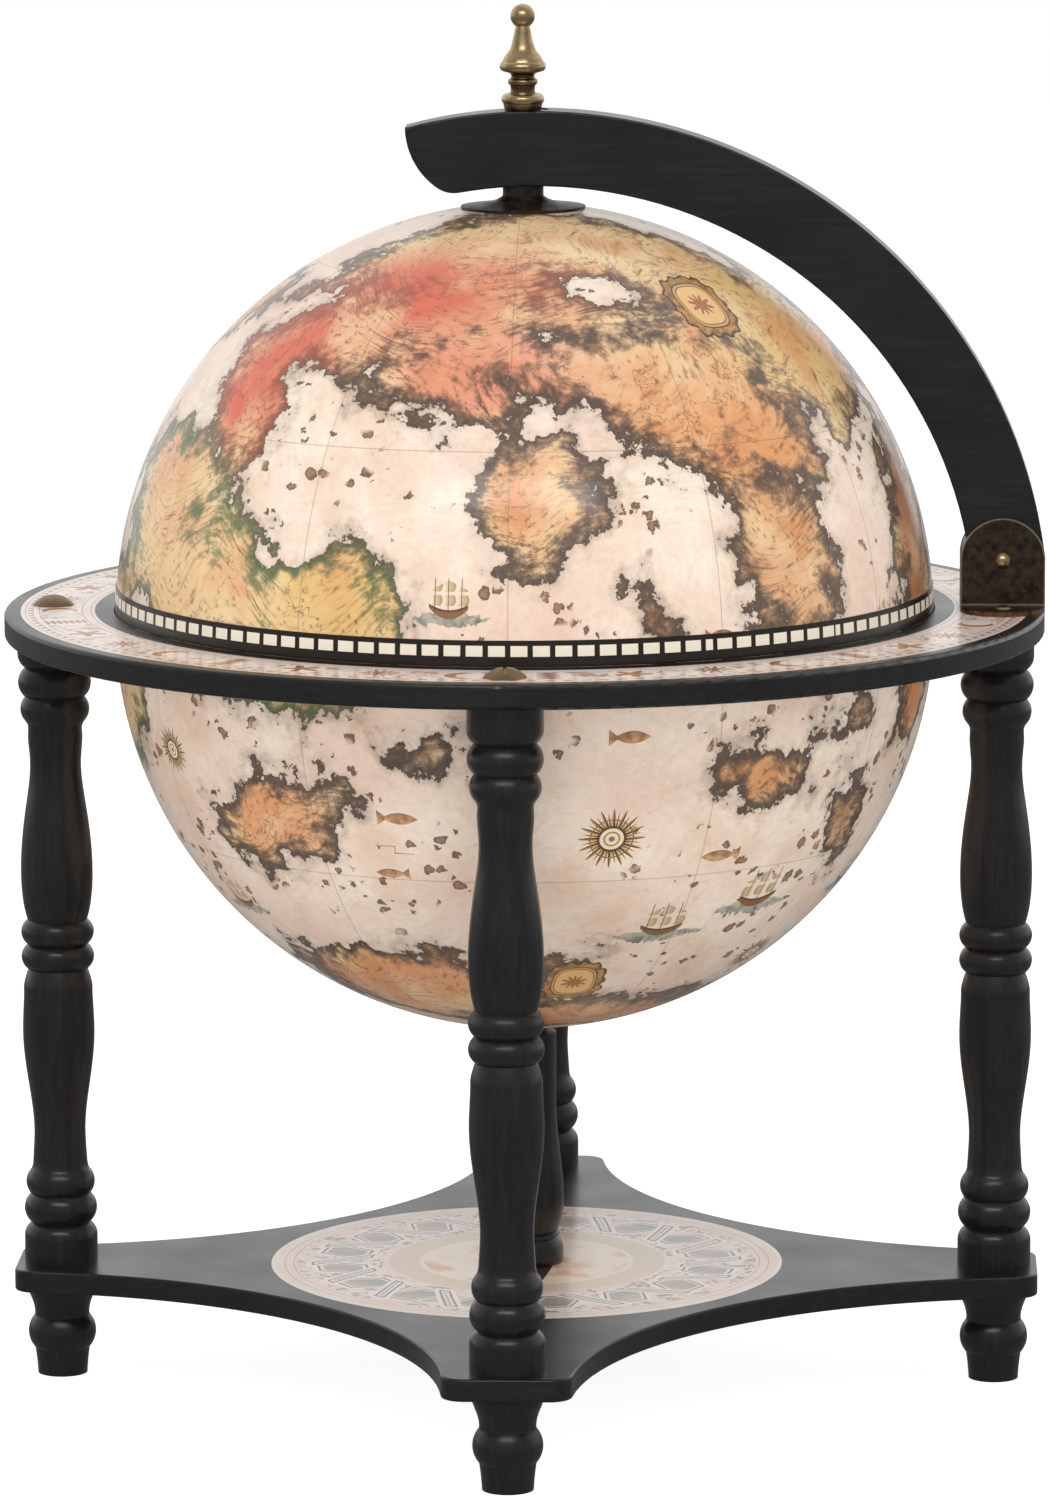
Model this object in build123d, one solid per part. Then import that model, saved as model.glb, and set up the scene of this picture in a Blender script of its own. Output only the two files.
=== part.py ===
from build123d import *
import os
from math import cos, radians, sin, sqrt

# Tabletop globe bar: a globe on a four-legged stand, whose upper half is a hinged lid.
# Millimetres, +Z up. The origin is on the floor under the globe's centre, the front is -Y,
# and the lid hinges at +X.

# Heights of the stand, stacked from the floor
foot_height = 38.5
plate_thickness = 9.0
leg_height = 261.0
ring_thickness = 10.0

# Globe: the ring, legs, plate and arm are all set out from its radius
globe_radius = 165.5
globe_wall = 4.0
bowl_centre_drop = 5.5
lid_centre_drop = 2.5
lid_gap = 0.3
band_height = 9.8
band_thickness = 0.8
pole_boss_radius = 19.0
pole_boss_drop = 7.0

# Horizon ring, with a printed ring let into its top
ring_bowl_gap = 0.4
ring_width = 44.1
ring_edge_radius = 1.6
print_thickness = 0.4
print_gap = 0.1
ring_print_inner_border = 7.6
ring_print_outer_border = 6.5

# Base plate: four clipped points joined by concave arcs, with a printed disc let in
plate_overhang = 17.5
plate_clip_width = 50.0
plate_waist = 115.3
plate_corner_radius = 9.0
plate_edge_radius = 1.0
base_print_border = 10.8

# Legs and feet, turned
leg_inset = 19.0
leg_block_radius = 14.9
leg_top_block = 15.5
leg_bottom_block = 15.7
leg_shoulder = 5.5
leg_large_bead = 12.0
leg_small_bead = 9.8
leg_middle_bead = 10.2
leg_bead_radius = 14.8
leg_small_bead_radius = 14.0
leg_block_groove_radius = 11.9
leg_groove_radius = 12.1
leg_cove_radius = 12.2
leg_neck_radius = 10.45
leg_belly_radius = 14.6
leg_lower_share = 0.505
foot_top_radius = 14.3
foot_bead_radius = 13.8
foot_cove_radius = 11.2
foot_tread_radius = 10.1

# Centre post, turned
post_radius = 15.0
post_foot_height = 18.5
post_chamfer = 1.0
post_groove_radius = 14.2
post_swell_radius = 15.3
post_shaft_radius = 12.3
post_neck_radius = 9.2
post_neck_height = 4.0
post_shoulder = 0.5

# Rack inside the bowl
board_thickness = 8.0
board_drop = 10.5
board_wall_gap = 1.0
floor_thickness = 6.0
floor_drop = 46.0
floor_wall_gap = 8.8
bottle_hole_radius = 46.0
glass_hole_radius = 31.0
glass_web = 25.5
glass_count = 4
spacer_radius = 6.0
spacer_web = 44.0
cleat_width = 22.0
cleat_depth = 14.0
cleat_height = 11.0
cleat_inset = 2.0
seat_radius = 50.0
seat_bottle_radius = 43.0
seat_lip = 3.0
seat_floor = 5.0
seat_washer_gap = 1.0

# Lid arm
arm_globe_gap = 10.7
arm_width = 30.2
arm_thickness = 18.0
arm_nose_reach = 47.0
arm_nose_radius = 30.0
arm_nose_undercut = 17.5
arm_nose_corner = 12.0
arm_edge_radius = 0.8
knuckle_inset = 0.2
spot_depth = 0.5
spot_gap = 1.0

# Hinge: two angle brackets on the ring, a pin and two thin washers
pin_height = 20.5
pin_radius = 2.5
pin_head_radius = 3.4
pin_head_height = 2.2
pin_running_gap = 0.05
hinge_washer_thickness = 0.8
hinge_washer_radius = 7.0
hinge_side_gap = 0.1
bracket_thickness = 2.2
bracket_half_width = 17.0
bracket_inset = 0.2
bracket_bend_radius = 1.0
bracket_screw_inset = 8.5
lid_open_angle = 95.0
stop_gap = 0.3
stop_length = 4.5
stop_inset = 0.7

# Lid pole: stud, collar, washers, nut and finial
stud_radius = 3.0
stud_running_gap = 0.08
stud_finial_grip = 15.3
thrust_gap = 0.1
collar_radius = 25.0
collar_neck_radius = 8.2
collar_neck_height = 3.2
collar_lip = 1.2
arm_washer_thickness = 1.0
pole_washer_radius = 13.0
pole_washer_thickness = 1.6
nut_across_flats = 10.0
nut_height = 5.0
nut_dome = 4.0
finial_height = 42.7
finial_ball_radius = 4.9
finial_disc_radius = 9.3
finial_stem_radius = 2.8

# Screws, studs and their clearances
seat_gap = 0.2
hole_gap = 0.1
pin_fit_gap = 0.05
ring_screw_radius = 2.5
ring_screw_grip = 21.0
ring_screw_head_radius = 8.5
ring_screw_head_height = 4.0
flush_screw_head_radius = 6.5
slot_width = 1.4
slot_depth = 1.5
small_slot_depth = 0.8
leg_stud_radius = 3.0
leg_stud_grip = 24.0
post_screw_radius = 3.0
post_screw_grip = 30.0
post_screw_head_radius = 7.0
post_screw_head_height = 3.5
post_washer_radius = 9.0
washer_thickness = 1.2
bowl_screw_head_radius = 6.0
bowl_screw_head_height = 2.4
bowl_washer_radius = 7.8
small_screw_radius = 1.5
small_screw_head_radius = 3.2
small_screw_head_height = 1.6
small_screw_grip = 10.0
bracket_screw_grip = 6.0
cut_past = 1.0

# Radii worked out from the sizes above
globe_inner = globe_radius - globe_wall
ring_hole_radius = globe_radius + ring_bowl_gap
ring_radius = ring_hole_radius + ring_width
ring_print_inner = ring_hole_radius + ring_print_inner_border
ring_print_outer = ring_radius - ring_print_outer_border
leg_circle_radius = ring_radius - leg_inset
plate_reach = leg_circle_radius + plate_overhang
base_print_radius = plate_waist - base_print_border
glass_circle_radius = bottle_hole_radius + glass_web + glass_hole_radius
spacer_circle_radius = bottle_hole_radius + spacer_web + spacer_radius
arm_inner_radius = globe_radius + arm_globe_gap
arm_radius = arm_inner_radius + arm_width
knuckle_radius = bracket_half_width - knuckle_inset

# Levels worked out from the sizes above
plate_bottom = foot_height
plate_top = plate_bottom + plate_thickness
ring_bottom = plate_top + leg_height
ring_top = ring_bottom + ring_thickness
bowl_centre = ring_top - bowl_centre_drop
bowl_bottom = bowl_centre - globe_radius
bowl_floor = bowl_centre - globe_inner
lid_centre = ring_top - lid_centre_drop
lid_rim = ring_top + lid_gap
lid_pole = lid_centre + globe_radius
boss_face = lid_centre + globe_inner - pole_boss_drop
nut_top = boss_face - thrust_gap - pole_washer_thickness
board_top = ring_top - board_drop
board_bottom = board_top - board_thickness
floor_top = board_bottom - floor_drop
floor_bottom = floor_top - floor_thickness

# The hinge, and the arm whose outer edge is in line with the ring's rim at the pin
pin_x = ring_radius - bracket_inset - bracket_half_width
pin_z = ring_top + pin_height
arm_centre_z = bowl_centre
arm_offset = ring_radius - sqrt(arm_radius ** 2 - (pin_z - arm_centre_z) ** 2)
arm_top = arm_centre_z + sqrt(arm_radius ** 2 - arm_offset ** 2)
arm_under = arm_centre_z + sqrt(arm_inner_radius ** 2 - (abs(arm_offset) + collar_neck_radius) ** 2)
finial_seat = arm_centre_z + sqrt(arm_radius ** 2 - (abs(arm_offset) + finial_disc_radius) ** 2)
stud_top = finial_seat + stud_finial_grip
washer_seat = arm_under + spot_depth
collar_top = washer_seat - arm_washer_thickness - thrust_gap
cheek_inner = arm_thickness / 2 + hinge_washer_thickness + 2 * hinge_side_gap
cheek_outer = cheek_inner + bracket_thickness
bracket_foot_end = cheek_outer + bracket_half_width
bracket_screw_y = bracket_foot_end - bracket_screw_inset

leg_angles = {"front": -90.0, "right": 0.0, "back": 90.0, "left": 180.0}
hinge_side = "right"
parts = {}


# ---------------------------------------------------------------- helpers
def cylinder_between(radius, low, high):
    return Pos(0, 0, (low + high) / 2) * Cylinder(radius, high - low)


def tube_between(inner, outer, low, high):
    return cylinder_between(outer, low, high) - cylinder_between(inner, low - cut_past, high + cut_past)


def at_angle(angle, radius, shape):
    return Rot(0, 0, angle) * (Pos(radius, 0, 0) * shape)


def sphere_cap(radius, centre, low, high):
    """The slice of a ball between two heights."""
    return Pos(0, 0, centre) * Sphere(radius) & cylinder_between(2 * radius, low, high)


def ball_depth(radius, across):
    """How far below a ball's centre its surface lies, at a distance from the axis."""
    return sqrt(radius ** 2 - across ** 2)


def turned(stages, start_radius, start_height):
    """A solid of revolution about Z. Each stage climbs by a rise from where the last one ended.
    straight goes to a radius, and bead swells to a peak and returns to a radius.
    spread and shoulder are quarter rounds to a radius, upright at their wider end.
    flow runs smoothly through (share of the rise, radius) points, and its directions at both
    ends may follow."""
    r, z = start_radius, start_height
    edges = [Line((0, z), (r, z))]
    for kind, rise, *shape in stages:
        top = z + rise
        if kind == "straight":
            end = shape[0]
            edges.append(Line((r, z), (end, top)))
        elif kind == "bead":
            peak, end = shape
            edges.append(ThreePointArc((r, z), (peak, z + rise / 2), (end, top)))
        elif kind == "spread":
            end = shape[0]
            edges.append(TangentArc((end, top), (r, z), tangent=(0, -1)))
        elif kind == "shoulder":
            end = shape[0]
            edges.append(TangentArc((r, z), (end, top), tangent=(0, 1)))
        else:
            through = [(radius, z + share * rise) for share, radius in shape[0]]
            end = through[-1][0]
            edges.append(Spline((r, z), *through, tangents=shape[1:] or None))
        r, z = end, top
    edges.append(Line((r, z), (0, z)))
    edges.append(Line((0, z), (0, start_height)))
    return revolve(Plane.XZ * make_face(edges), Axis.Z)


def dome_radius(radius, height):
    """The ball whose cap has this radius and height."""
    return (radius ** 2 + height ** 2) / (2 * height)


def domed_head(radius, height, base):
    """A low domed screw head that stands on base."""
    ball = dome_radius(radius, height)
    whole = Pos(0, 0, base + height - ball) * Sphere(ball)
    return whole & cylinder_between(2 * radius, base, base + height)


def slotted(screw, top, radius, depth):
    """A screw with a slot right across its head."""
    return screw - Pos(0, 0, top) * Box(2 * radius + cut_past, slot_width, 2 * depth)


def flat_screw(radius, head_radius, length, top):
    """A countersunk screw, flush at top, pointing down."""
    taper = head_radius - radius
    head = Pos(0, 0, top - taper / 2) * Cone(radius, head_radius, taper)
    return head + cylinder_between(radius, top - length, top - taper)


def flat_screw_hole(radius, head_radius, length, top):
    hole = flat_screw(radius + hole_gap, head_radius + hole_gap, length + hole_gap, top)
    return hole + cylinder_between(head_radius + hole_gap, top, top + cut_past)


# ---------------------------------------------------------------- stand
def turned_leg():
    """Blocks at both ends, bead pairs, and two vases with their necks turned outwards."""
    bead_heights = 2 * (leg_large_bead + leg_small_bead + leg_middle_bead)
    fixed = leg_top_block + leg_bottom_block + bead_heights
    lower_vase = (leg_height - fixed) * leg_lower_share
    upper_vase = leg_height - fixed - lower_vase
    belly = leg_belly_radius
    neck = leg_neck_radius
    lower_shape = [(0.06, 1.055 * neck), (0.2, neck), (0.45, 0.87 * belly), (0.72, belly),
                   (0.89, 0.96 * belly), (1, leg_groove_radius)]
    upper_shape = [(0.11, 0.96 * belly), (0.27, belly), (0.57, 0.84 * belly), (0.82, neck),
                   (0.94, 1.055 * neck), (1, leg_cove_radius)]
    stages = [
        ("straight", leg_bottom_block - leg_shoulder, leg_block_radius),
        ("shoulder", leg_shoulder, leg_block_groove_radius),
        ("bead", leg_large_bead, leg_bead_radius, leg_groove_radius),
        ("bead", leg_small_bead, leg_small_bead_radius, leg_cove_radius),
        ("flow", lower_vase, lower_shape, (-0.9, 1), (-0.35, 1)),
        ("bead", leg_middle_bead, leg_bead_radius, leg_groove_radius),
        ("bead", leg_middle_bead, leg_bead_radius, leg_groove_radius),
        ("flow", upper_vase, upper_shape, (0.35, 1), (0.9, 1)),
        ("bead", leg_small_bead, leg_small_bead_radius, leg_groove_radius),
        ("bead", leg_large_bead, leg_bead_radius, leg_block_groove_radius),
        ("spread", leg_shoulder, leg_block_radius),
        ("straight", leg_top_block - leg_shoulder, leg_block_radius),
    ]
    return turned(stages, leg_block_radius, plate_top)


def turned_foot():
    """A tread, a bead and a cove that opens to the plate."""
    stages = [
        ("flow", 0.28 * foot_height, [(0.5, 1.04 * foot_tread_radius), (1, foot_cove_radius)]),
        ("bead", 0.35 * foot_height, foot_bead_radius, foot_cove_radius),
        ("flow", 0.37 * foot_height, [(0.16, foot_cove_radius), (0.43, 1.08 * foot_cove_radius),
                                      (0.7, 0.95 * foot_top_radius), (1, foot_top_radius)]),
    ]
    return turned(stages, foot_tread_radius, 0)


def make_legs():
    stud_low = plate_bottom - leg_stud_grip
    stud_high = plate_top + leg_stud_grip
    stud_hole = cylinder_between(leg_stud_radius + hole_gap, stud_low - hole_gap, stud_high + hole_gap)
    screw_end = ring_bottom - ring_screw_grip
    screw_hole = cylinder_between(ring_screw_radius + hole_gap, screw_end - hole_gap, ring_top)
    leg = turned_leg() - stud_hole - screw_hole
    foot = turned_foot() - stud_hole
    stud = cylinder_between(leg_stud_radius, stud_low, stud_high)
    for side, angle in leg_angles.items():
        parts["leg_" + side] = at_angle(angle, leg_circle_radius, leg)
        parts["foot_" + side] = at_angle(angle, leg_circle_radius, foot)
    parts["leg_studs"] = [at_angle(angle, leg_circle_radius, stud) for angle in leg_angles.values()]


def plate_outline():
    """Concave arcs between clipped points, symmetric about both axes and both diagonals."""
    half = plate_clip_width / 2
    waist = plate_waist / sqrt(2)
    edges = []
    for turn in range(4):
        corner = Rot(0, 0, 90 * turn)
        edges.append(corner * Line((plate_reach, -half), (plate_reach, half)))
        edges.append(corner * ThreePointArc((plate_reach, half), (waist, waist), (half, plate_reach)))
    face = make_face(edges)
    return fillet(face.vertices(), plate_corner_radius)


def make_base():
    plate = Pos(0, 0, plate_bottom) * extrude(plate_outline(), plate_thickness)
    rims = plate.edges().group_by(Axis.Z)
    plate = fillet(rims[0] + rims[-1], plate_edge_radius)
    print_floor = plate_top - print_thickness
    plate -= cylinder_between(base_print_radius + print_gap, print_floor, plate_top + cut_past)
    stud_hole = cylinder_between(leg_stud_radius + hole_gap, plate_bottom - cut_past, plate_top + cut_past)
    for angle in leg_angles.values():
        plate -= at_angle(angle, leg_circle_radius, stud_hole)
    screw_hole = cylinder_between(post_screw_radius + hole_gap, plate_bottom - cut_past,
                                  plate_top + cut_past)
    parts["base_plate"] = plate - screw_hole
    parts["base_print"] = cylinder_between(base_print_radius, print_floor, plate_top) - screw_hole


def make_post():
    """A base block, a groove, a long shaft that swells at its foot, and a neck dished for the bowl."""
    block = 0.8 * post_foot_height
    shaft = bowl_bottom - plate_top - post_foot_height - post_neck_height
    stages = [
        ("straight", post_chamfer, post_radius),
        ("straight", block - post_chamfer, post_radius),
        ("bead", post_foot_height - block, post_groove_radius, 0.96 * post_radius),
        ("flow", shaft, [(0.08, post_swell_radius), (0.32, 0.89 * post_swell_radius),
                         (0.62, post_shaft_radius), (1, post_shaft_radius)]),
        ("straight", post_shoulder, post_neck_radius),
        ("straight", post_neck_height, post_neck_radius),
    ]
    post = turned(stages, post_radius - post_chamfer, plate_top)
    post -= Pos(0, 0, bowl_centre) * Sphere(globe_radius + seat_gap)
    hole_radius = post_screw_radius + hole_gap
    hole_depth = post_screw_grip + hole_gap
    post -= cylinder_between(hole_radius, plate_top - cut_past, plate_top + hole_depth)
    post -= cylinder_between(hole_radius, bowl_bottom - hole_depth, bowl_floor)
    parts["centre_post"] = post

    washer_low = plate_bottom - washer_thickness
    screw = cylinder_between(post_screw_radius, plate_bottom, plate_top + post_screw_grip)
    screw += cylinder_between(post_washer_radius, washer_low, plate_bottom)
    head = Rot(180, 0, 0) * domed_head(post_screw_head_radius, post_screw_head_height, 0)
    parts["post_screw"] = screw + Pos(0, 0, washer_low) * head


def make_ring():
    section = Pos((ring_hole_radius + ring_radius) / 2, ring_bottom + ring_thickness / 2) * Rectangle(
        ring_width, ring_thickness)
    section = fillet(section.vertices().sort_by(Axis.X)[-2:], ring_edge_radius)
    ring = revolve(Plane.XZ * section, Axis.Z)
    floor = ring_top - print_thickness
    recess = cylinder_between(ring_print_outer + print_gap, floor, ring_top + cut_past)
    ring -= recess - cylinder_between(ring_print_inner - print_gap, floor, ring_top + cut_past)
    print_ring = tube_between(ring_print_inner, ring_print_outer, floor, ring_top)

    screw_sides = [angle for side, angle in leg_angles.items() if side != hinge_side]
    flush_angle = leg_angles[hinge_side]
    through = cylinder_between(ring_screw_radius + hole_gap, ring_bottom - cut_past, ring_top + cut_past)
    flush = ring_screw_radius, flush_screw_head_radius, ring_thickness + ring_screw_grip, ring_top
    holes = [at_angle(angle, leg_circle_radius, through) for angle in screw_sides]
    holes.append(at_angle(flush_angle, leg_circle_radius, flat_screw_hole(*flush)))
    bracket_hole = cylinder_between(small_screw_radius + hole_gap, ring_top - bracket_screw_grip - hole_gap,
                                    ring_top + cut_past)
    holes += [Pos(pin_x, sign * bracket_screw_y, 0) * bracket_hole for sign in (-1, 1)]
    for hole in holes:
        ring -= hole
        print_ring -= hole
    parts["horizon_ring"] = ring
    parts["ring_print"] = print_ring

    screw = cylinder_between(ring_screw_radius, ring_bottom - ring_screw_grip, ring_top)
    screw += domed_head(ring_screw_head_radius, ring_screw_head_height, ring_top)
    screw = slotted(screw, ring_top + ring_screw_head_height, ring_screw_head_radius, slot_depth)
    parts["ring_screws"] = [at_angle(angle, leg_circle_radius, screw) for angle in screw_sides]
    flush_screw = slotted(flat_screw(*flush), ring_top, flush_screw_head_radius, slot_depth)
    parts["hinge_leg_screw"] = at_angle(flush_angle, leg_circle_radius, flush_screw)


# ---------------------------------------------------------------- lower globe and rack
def make_bowl():
    """A half shell whose equator lies inside the ring, with a straight collar up to the ring's top."""
    outer = sphere_cap(globe_radius, bowl_centre, bowl_bottom - cut_past, bowl_centre)
    outer += cylinder_between(globe_radius, bowl_centre, ring_top)
    inner = sphere_cap(globe_inner, bowl_centre, bowl_floor - cut_past, bowl_centre)
    inner += cylinder_between(globe_inner, bowl_centre, ring_top + cut_past)
    hole_radius = post_screw_radius + hole_gap
    hole = cylinder_between(hole_radius, bowl_bottom - cut_past, bowl_floor + cut_past)
    parts["lower_bowl"] = outer - inner - hole

    washer_low = bowl_centre - ball_depth(globe_inner, bowl_washer_radius)
    washer_high = washer_low + washer_thickness
    head_top = washer_high + bowl_screw_head_height
    parts["bowl_washer"] = tube_between(hole_radius, bowl_washer_radius, washer_low, washer_high)
    screw = cylinder_between(post_screw_radius, bowl_bottom - post_screw_grip, washer_high)
    screw += domed_head(bowl_screw_head_radius, bowl_screw_head_height, washer_high)
    parts["bowl_screw"] = slotted(screw, head_top, bowl_screw_head_radius, slot_depth)

    seat_low = bowl_centre - ball_depth(globe_inner, seat_radius)
    seat_top = seat_low + seat_floor + seat_lip
    seat = cylinder_between(seat_radius, bowl_floor, seat_top)
    seat &= Pos(0, 0, bowl_centre) * Sphere(globe_inner - seat_gap)
    seat -= cylinder_between(seat_bottle_radius, seat_low + seat_floor, seat_top + cut_past)
    washer_hole = bowl_washer_radius + seat_washer_gap
    seat -= cylinder_between(washer_hole, bowl_floor - cut_past, seat_top + cut_past)
    parts["bottle_seat"] = seat


def ring_board(radius, low, high):
    """A round board with the bottle hole in its middle."""
    return tube_between(bottle_hole_radius, radius, low, high)


def make_rack():
    """Two boards held apart by spacers. The top one has the glass holes and rests on cleats."""
    top_radius = ball_depth(globe_inner, bowl_centre - board_bottom) - board_wall_gap
    floor_radius = ball_depth(globe_inner, bowl_centre - floor_bottom) - floor_wall_gap
    glass_step = 360 / glass_count
    between = [glass_step * index for index in range(glass_count)]
    glass_hole = cylinder_between(glass_hole_radius, board_bottom - cut_past, board_top + cut_past)

    down_sizes = small_screw_radius, small_screw_head_radius, board_thickness + small_screw_grip, board_top
    up_length = floor_thickness + small_screw_grip
    up_sizes = small_screw_radius, small_screw_head_radius, up_length, -floor_bottom
    flip = Rot(180, 0, 0)
    down_screw = flat_screw(*down_sizes)
    down_hole = flat_screw_hole(*down_sizes)
    up_screw = flip * flat_screw(*up_sizes)
    up_hole = flip * flat_screw_hole(*up_sizes)

    top = ring_board(top_radius, board_bottom, board_top)
    floor = ring_board(floor_radius, floor_bottom, floor_top)
    cleat_circle = top_radius - cleat_depth / 2 - cleat_inset
    for angle in between:
        top -= at_angle(angle + glass_step / 2, glass_circle_radius, glass_hole)
        top -= at_angle(angle, spacer_circle_radius, down_hole)
        top -= at_angle(angle, cleat_circle, down_hole)
        floor -= at_angle(angle, spacer_circle_radius, up_hole)
    parts["rack_board"] = top
    parts["rack_floor"] = floor

    spacer = cylinder_between(spacer_radius, floor_top, board_bottom) - down_hole - up_hole
    parts["rack_spacers"] = [at_angle(angle, spacer_circle_radius, spacer) for angle in between]
    parts["rack_screws"] = [at_angle(angle, spacer_circle_radius, screw)
                            for angle in between for screw in (down_screw, up_screw)]

    cleat = Pos(cleat_circle, 0, board_bottom - cleat_height / 2) * Box(
        3 * cleat_depth, cleat_width, cleat_height)
    cleat -= cylinder_between(cleat_circle - cleat_depth / 2, board_bottom - 2 * cleat_height,
                              board_bottom + cut_past)
    cleat &= Pos(0, 0, bowl_centre) * Sphere(globe_inner - seat_gap)
    cleat -= Pos(cleat_circle, 0, 0) * down_hole
    parts["rack_cleats"] = [Rot(0, 0, angle) * cleat for angle in between]
    parts["cleat_screws"] = [at_angle(angle, cleat_circle, down_screw) for angle in between]


# ---------------------------------------------------------------- hinge
def on_pin(radius, low, high):
    """A cylinder on the hinge pin's axis, between two distances along Y."""
    return Pos(pin_x, (low + high) / 2, pin_z) * (Rot(90, 0, 0) * Cylinder(radius, high - low))


def make_bracket():
    """The front angle bracket: an arched cheek, a bend and a round-ended foot."""
    arch_top = pin_height + bracket_half_width
    with BuildSketch(Plane.YZ) as angle_section:
        with BuildLine():
            Polyline((-cheek_inner, 0), (-bracket_foot_end, 0), (-bracket_foot_end, bracket_thickness),
                     (-cheek_outer, bracket_thickness), (-cheek_outer, arch_top),
                     (-cheek_inner, arch_top), (-cheek_inner, 0))
        make_face()
        outer_corner = angle_section.vertices().sort_by_distance((0, -cheek_inner, 0))[0]
        fillet(outer_corner, bracket_bend_radius + bracket_thickness)
        inner_corner = angle_section.vertices().sort_by_distance((0, -cheek_outer, bracket_thickness))[0]
        fillet(inner_corner, bracket_bend_radius)
    width = 2 * bracket_half_width
    bracket = Pos(-bracket_half_width, 0, 0) * extrude(angle_section.sketch, width)

    reach = 4 * bracket_foot_end
    arch_side = Pos(0, 0, pin_height) * (Rot(90, 0, 0) * Cylinder(bracket_half_width, reach))
    arch_side += Pos(0, 0, pin_height / 2) * Box(width, reach, pin_height)
    foot_side = Pos(0, -cheek_outer, 0) * Cylinder(bracket_half_width, 4 * arch_top)
    foot_side += Box(width, 2 * cheek_outer, 4 * arch_top)
    bracket = Pos(pin_x, 0, ring_top) * (bracket & arch_side & foot_side)
    bracket -= on_pin(pin_radius + pin_fit_gap, -bracket_foot_end, 0)
    screw_hole = cylinder_between(small_screw_radius + hole_gap, ring_top - cut_past,
                                  ring_top + bracket_thickness + cut_past)
    return bracket - Pos(pin_x, -bracket_screw_y, 0) * screw_hole


def stop_height():
    """The open arm's outer edge comes down on the pad, so the pad's height follows the open angle."""
    turn = radians(lid_open_angle)
    dx, dz = arm_offset - pin_x, arm_centre_z - pin_z
    centre_x = pin_x + dx * cos(turn) + dz * sin(turn)
    centre_z = pin_z + dz * cos(turn) - dx * sin(turn)
    near_x = ring_radius - stop_inset - stop_length
    edge_z = centre_z - sqrt(arm_radius ** 2 - (near_x - centre_x) ** 2)
    return edge_z - ring_top - stop_gap


def make_hinge():
    front_bracket = make_bracket()
    parts["hinge_bracket_front"] = front_bracket
    parts["hinge_bracket_back"] = mirror(front_bracket, Plane.XZ)

    ball = dome_radius(pin_head_radius, pin_head_height)
    head_end = cheek_outer + pin_head_height
    pin = on_pin(pin_radius, -cheek_outer, cheek_outer)
    for sign in (-1, 1):
        low, high = sorted((sign * cheek_outer, sign * head_end))
        whole = Pos(pin_x, sign * (head_end - ball), pin_z) * Sphere(ball)
        pin += whole & on_pin(pin_head_radius, low, high)
    parts["hinge_pin"] = pin

    washer_low = arm_thickness / 2 + hinge_side_gap
    washer_high = washer_low + hinge_washer_thickness
    washer = on_pin(hinge_washer_radius, washer_low, washer_high)
    washer -= on_pin(pin_radius + pin_fit_gap, washer_low - cut_past, washer_high + cut_past)
    parts["hinge_washers"] = [washer, mirror(washer, Plane.XZ)]

    foot_top = ring_top + bracket_thickness
    screw = cylinder_between(small_screw_radius, ring_top - bracket_screw_grip, foot_top)
    screw += domed_head(small_screw_head_radius, small_screw_head_height, foot_top)
    screw = slotted(screw, foot_top + small_screw_head_height, small_screw_head_radius, small_slot_depth)
    parts["bracket_screws"] = [Pos(pin_x, sign * bracket_screw_y, 0) * screw for sign in (-1, 1)]

    height = stop_height()
    pad_x = ring_radius - stop_inset - stop_length / 2
    parts["stop_pad"] = Pos(pad_x, 0, ring_top + height / 2) * Box(stop_length, arm_thickness, height)


# ---------------------------------------------------------------- lid
def make_arm():
    """A flat arc, rounded about the hinge pin at one end and to a shaped nose at the other."""
    def on_arc(radius, x):
        return x, arm_centre_z + sqrt(radius ** 2 - (x - arm_offset) ** 2)

    def beside_arc(radius, z):
        return arm_offset + sqrt(radius ** 2 - (z - arm_centre_z) ** 2), z

    nose_top = on_arc(arm_radius, -arm_nose_reach)
    nose_low = on_arc(arm_inner_radius, arm_nose_undercut - arm_nose_reach)
    hinge_outer = beside_arc(arm_radius, pin_z)
    hinge_inner = beside_arc(arm_inner_radius, pin_z)
    outer_middle = beside_arc(arm_radius, arm_centre_z + arm_radius / sqrt(2))
    outer = ThreePointArc(nose_top, outer_middle, hinge_outer)
    inner_middle = beside_arc(arm_inner_radius, arm_centre_z + arm_inner_radius / sqrt(2))
    inner = ThreePointArc(hinge_inner, inner_middle, nose_low)
    nose = RadiusArc(nose_low, nose_top, arm_nose_radius)
    section = make_face([outer, Line(hinge_outer, hinge_inner), inner, nose])
    section = fillet(section.vertices().sort_by_distance(nose_low)[:1], arm_nose_corner)
    section += Pos(pin_x, pin_z) * Circle(knuckle_radius)
    arm = extrude(Plane.XZ * section, arm_thickness / 2, both=True)
    front_edges = arm.edges().group_by(Axis.Y)[0]
    back_edges = arm.edges().group_by(Axis.Y)[-1]
    arm = fillet(front_edges + back_edges, arm_edge_radius)

    arm -= on_pin(pin_radius + pin_running_gap, -arm_thickness, arm_thickness)
    below = arm_under - arm_width
    arm -= cylinder_between(stud_radius + hole_gap, below, arm_top + cut_past)
    arm -= cylinder_between(finial_disc_radius + spot_gap, finial_seat, arm_top + cut_past)
    arm -= cylinder_between(collar_neck_radius + spot_gap, below, washer_seat)
    parts["lid_arm"] = arm
    parts["arm_washer"] = tube_between(stud_radius + hole_gap, collar_neck_radius,
                                       washer_seat - arm_washer_thickness, washer_seat)


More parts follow.
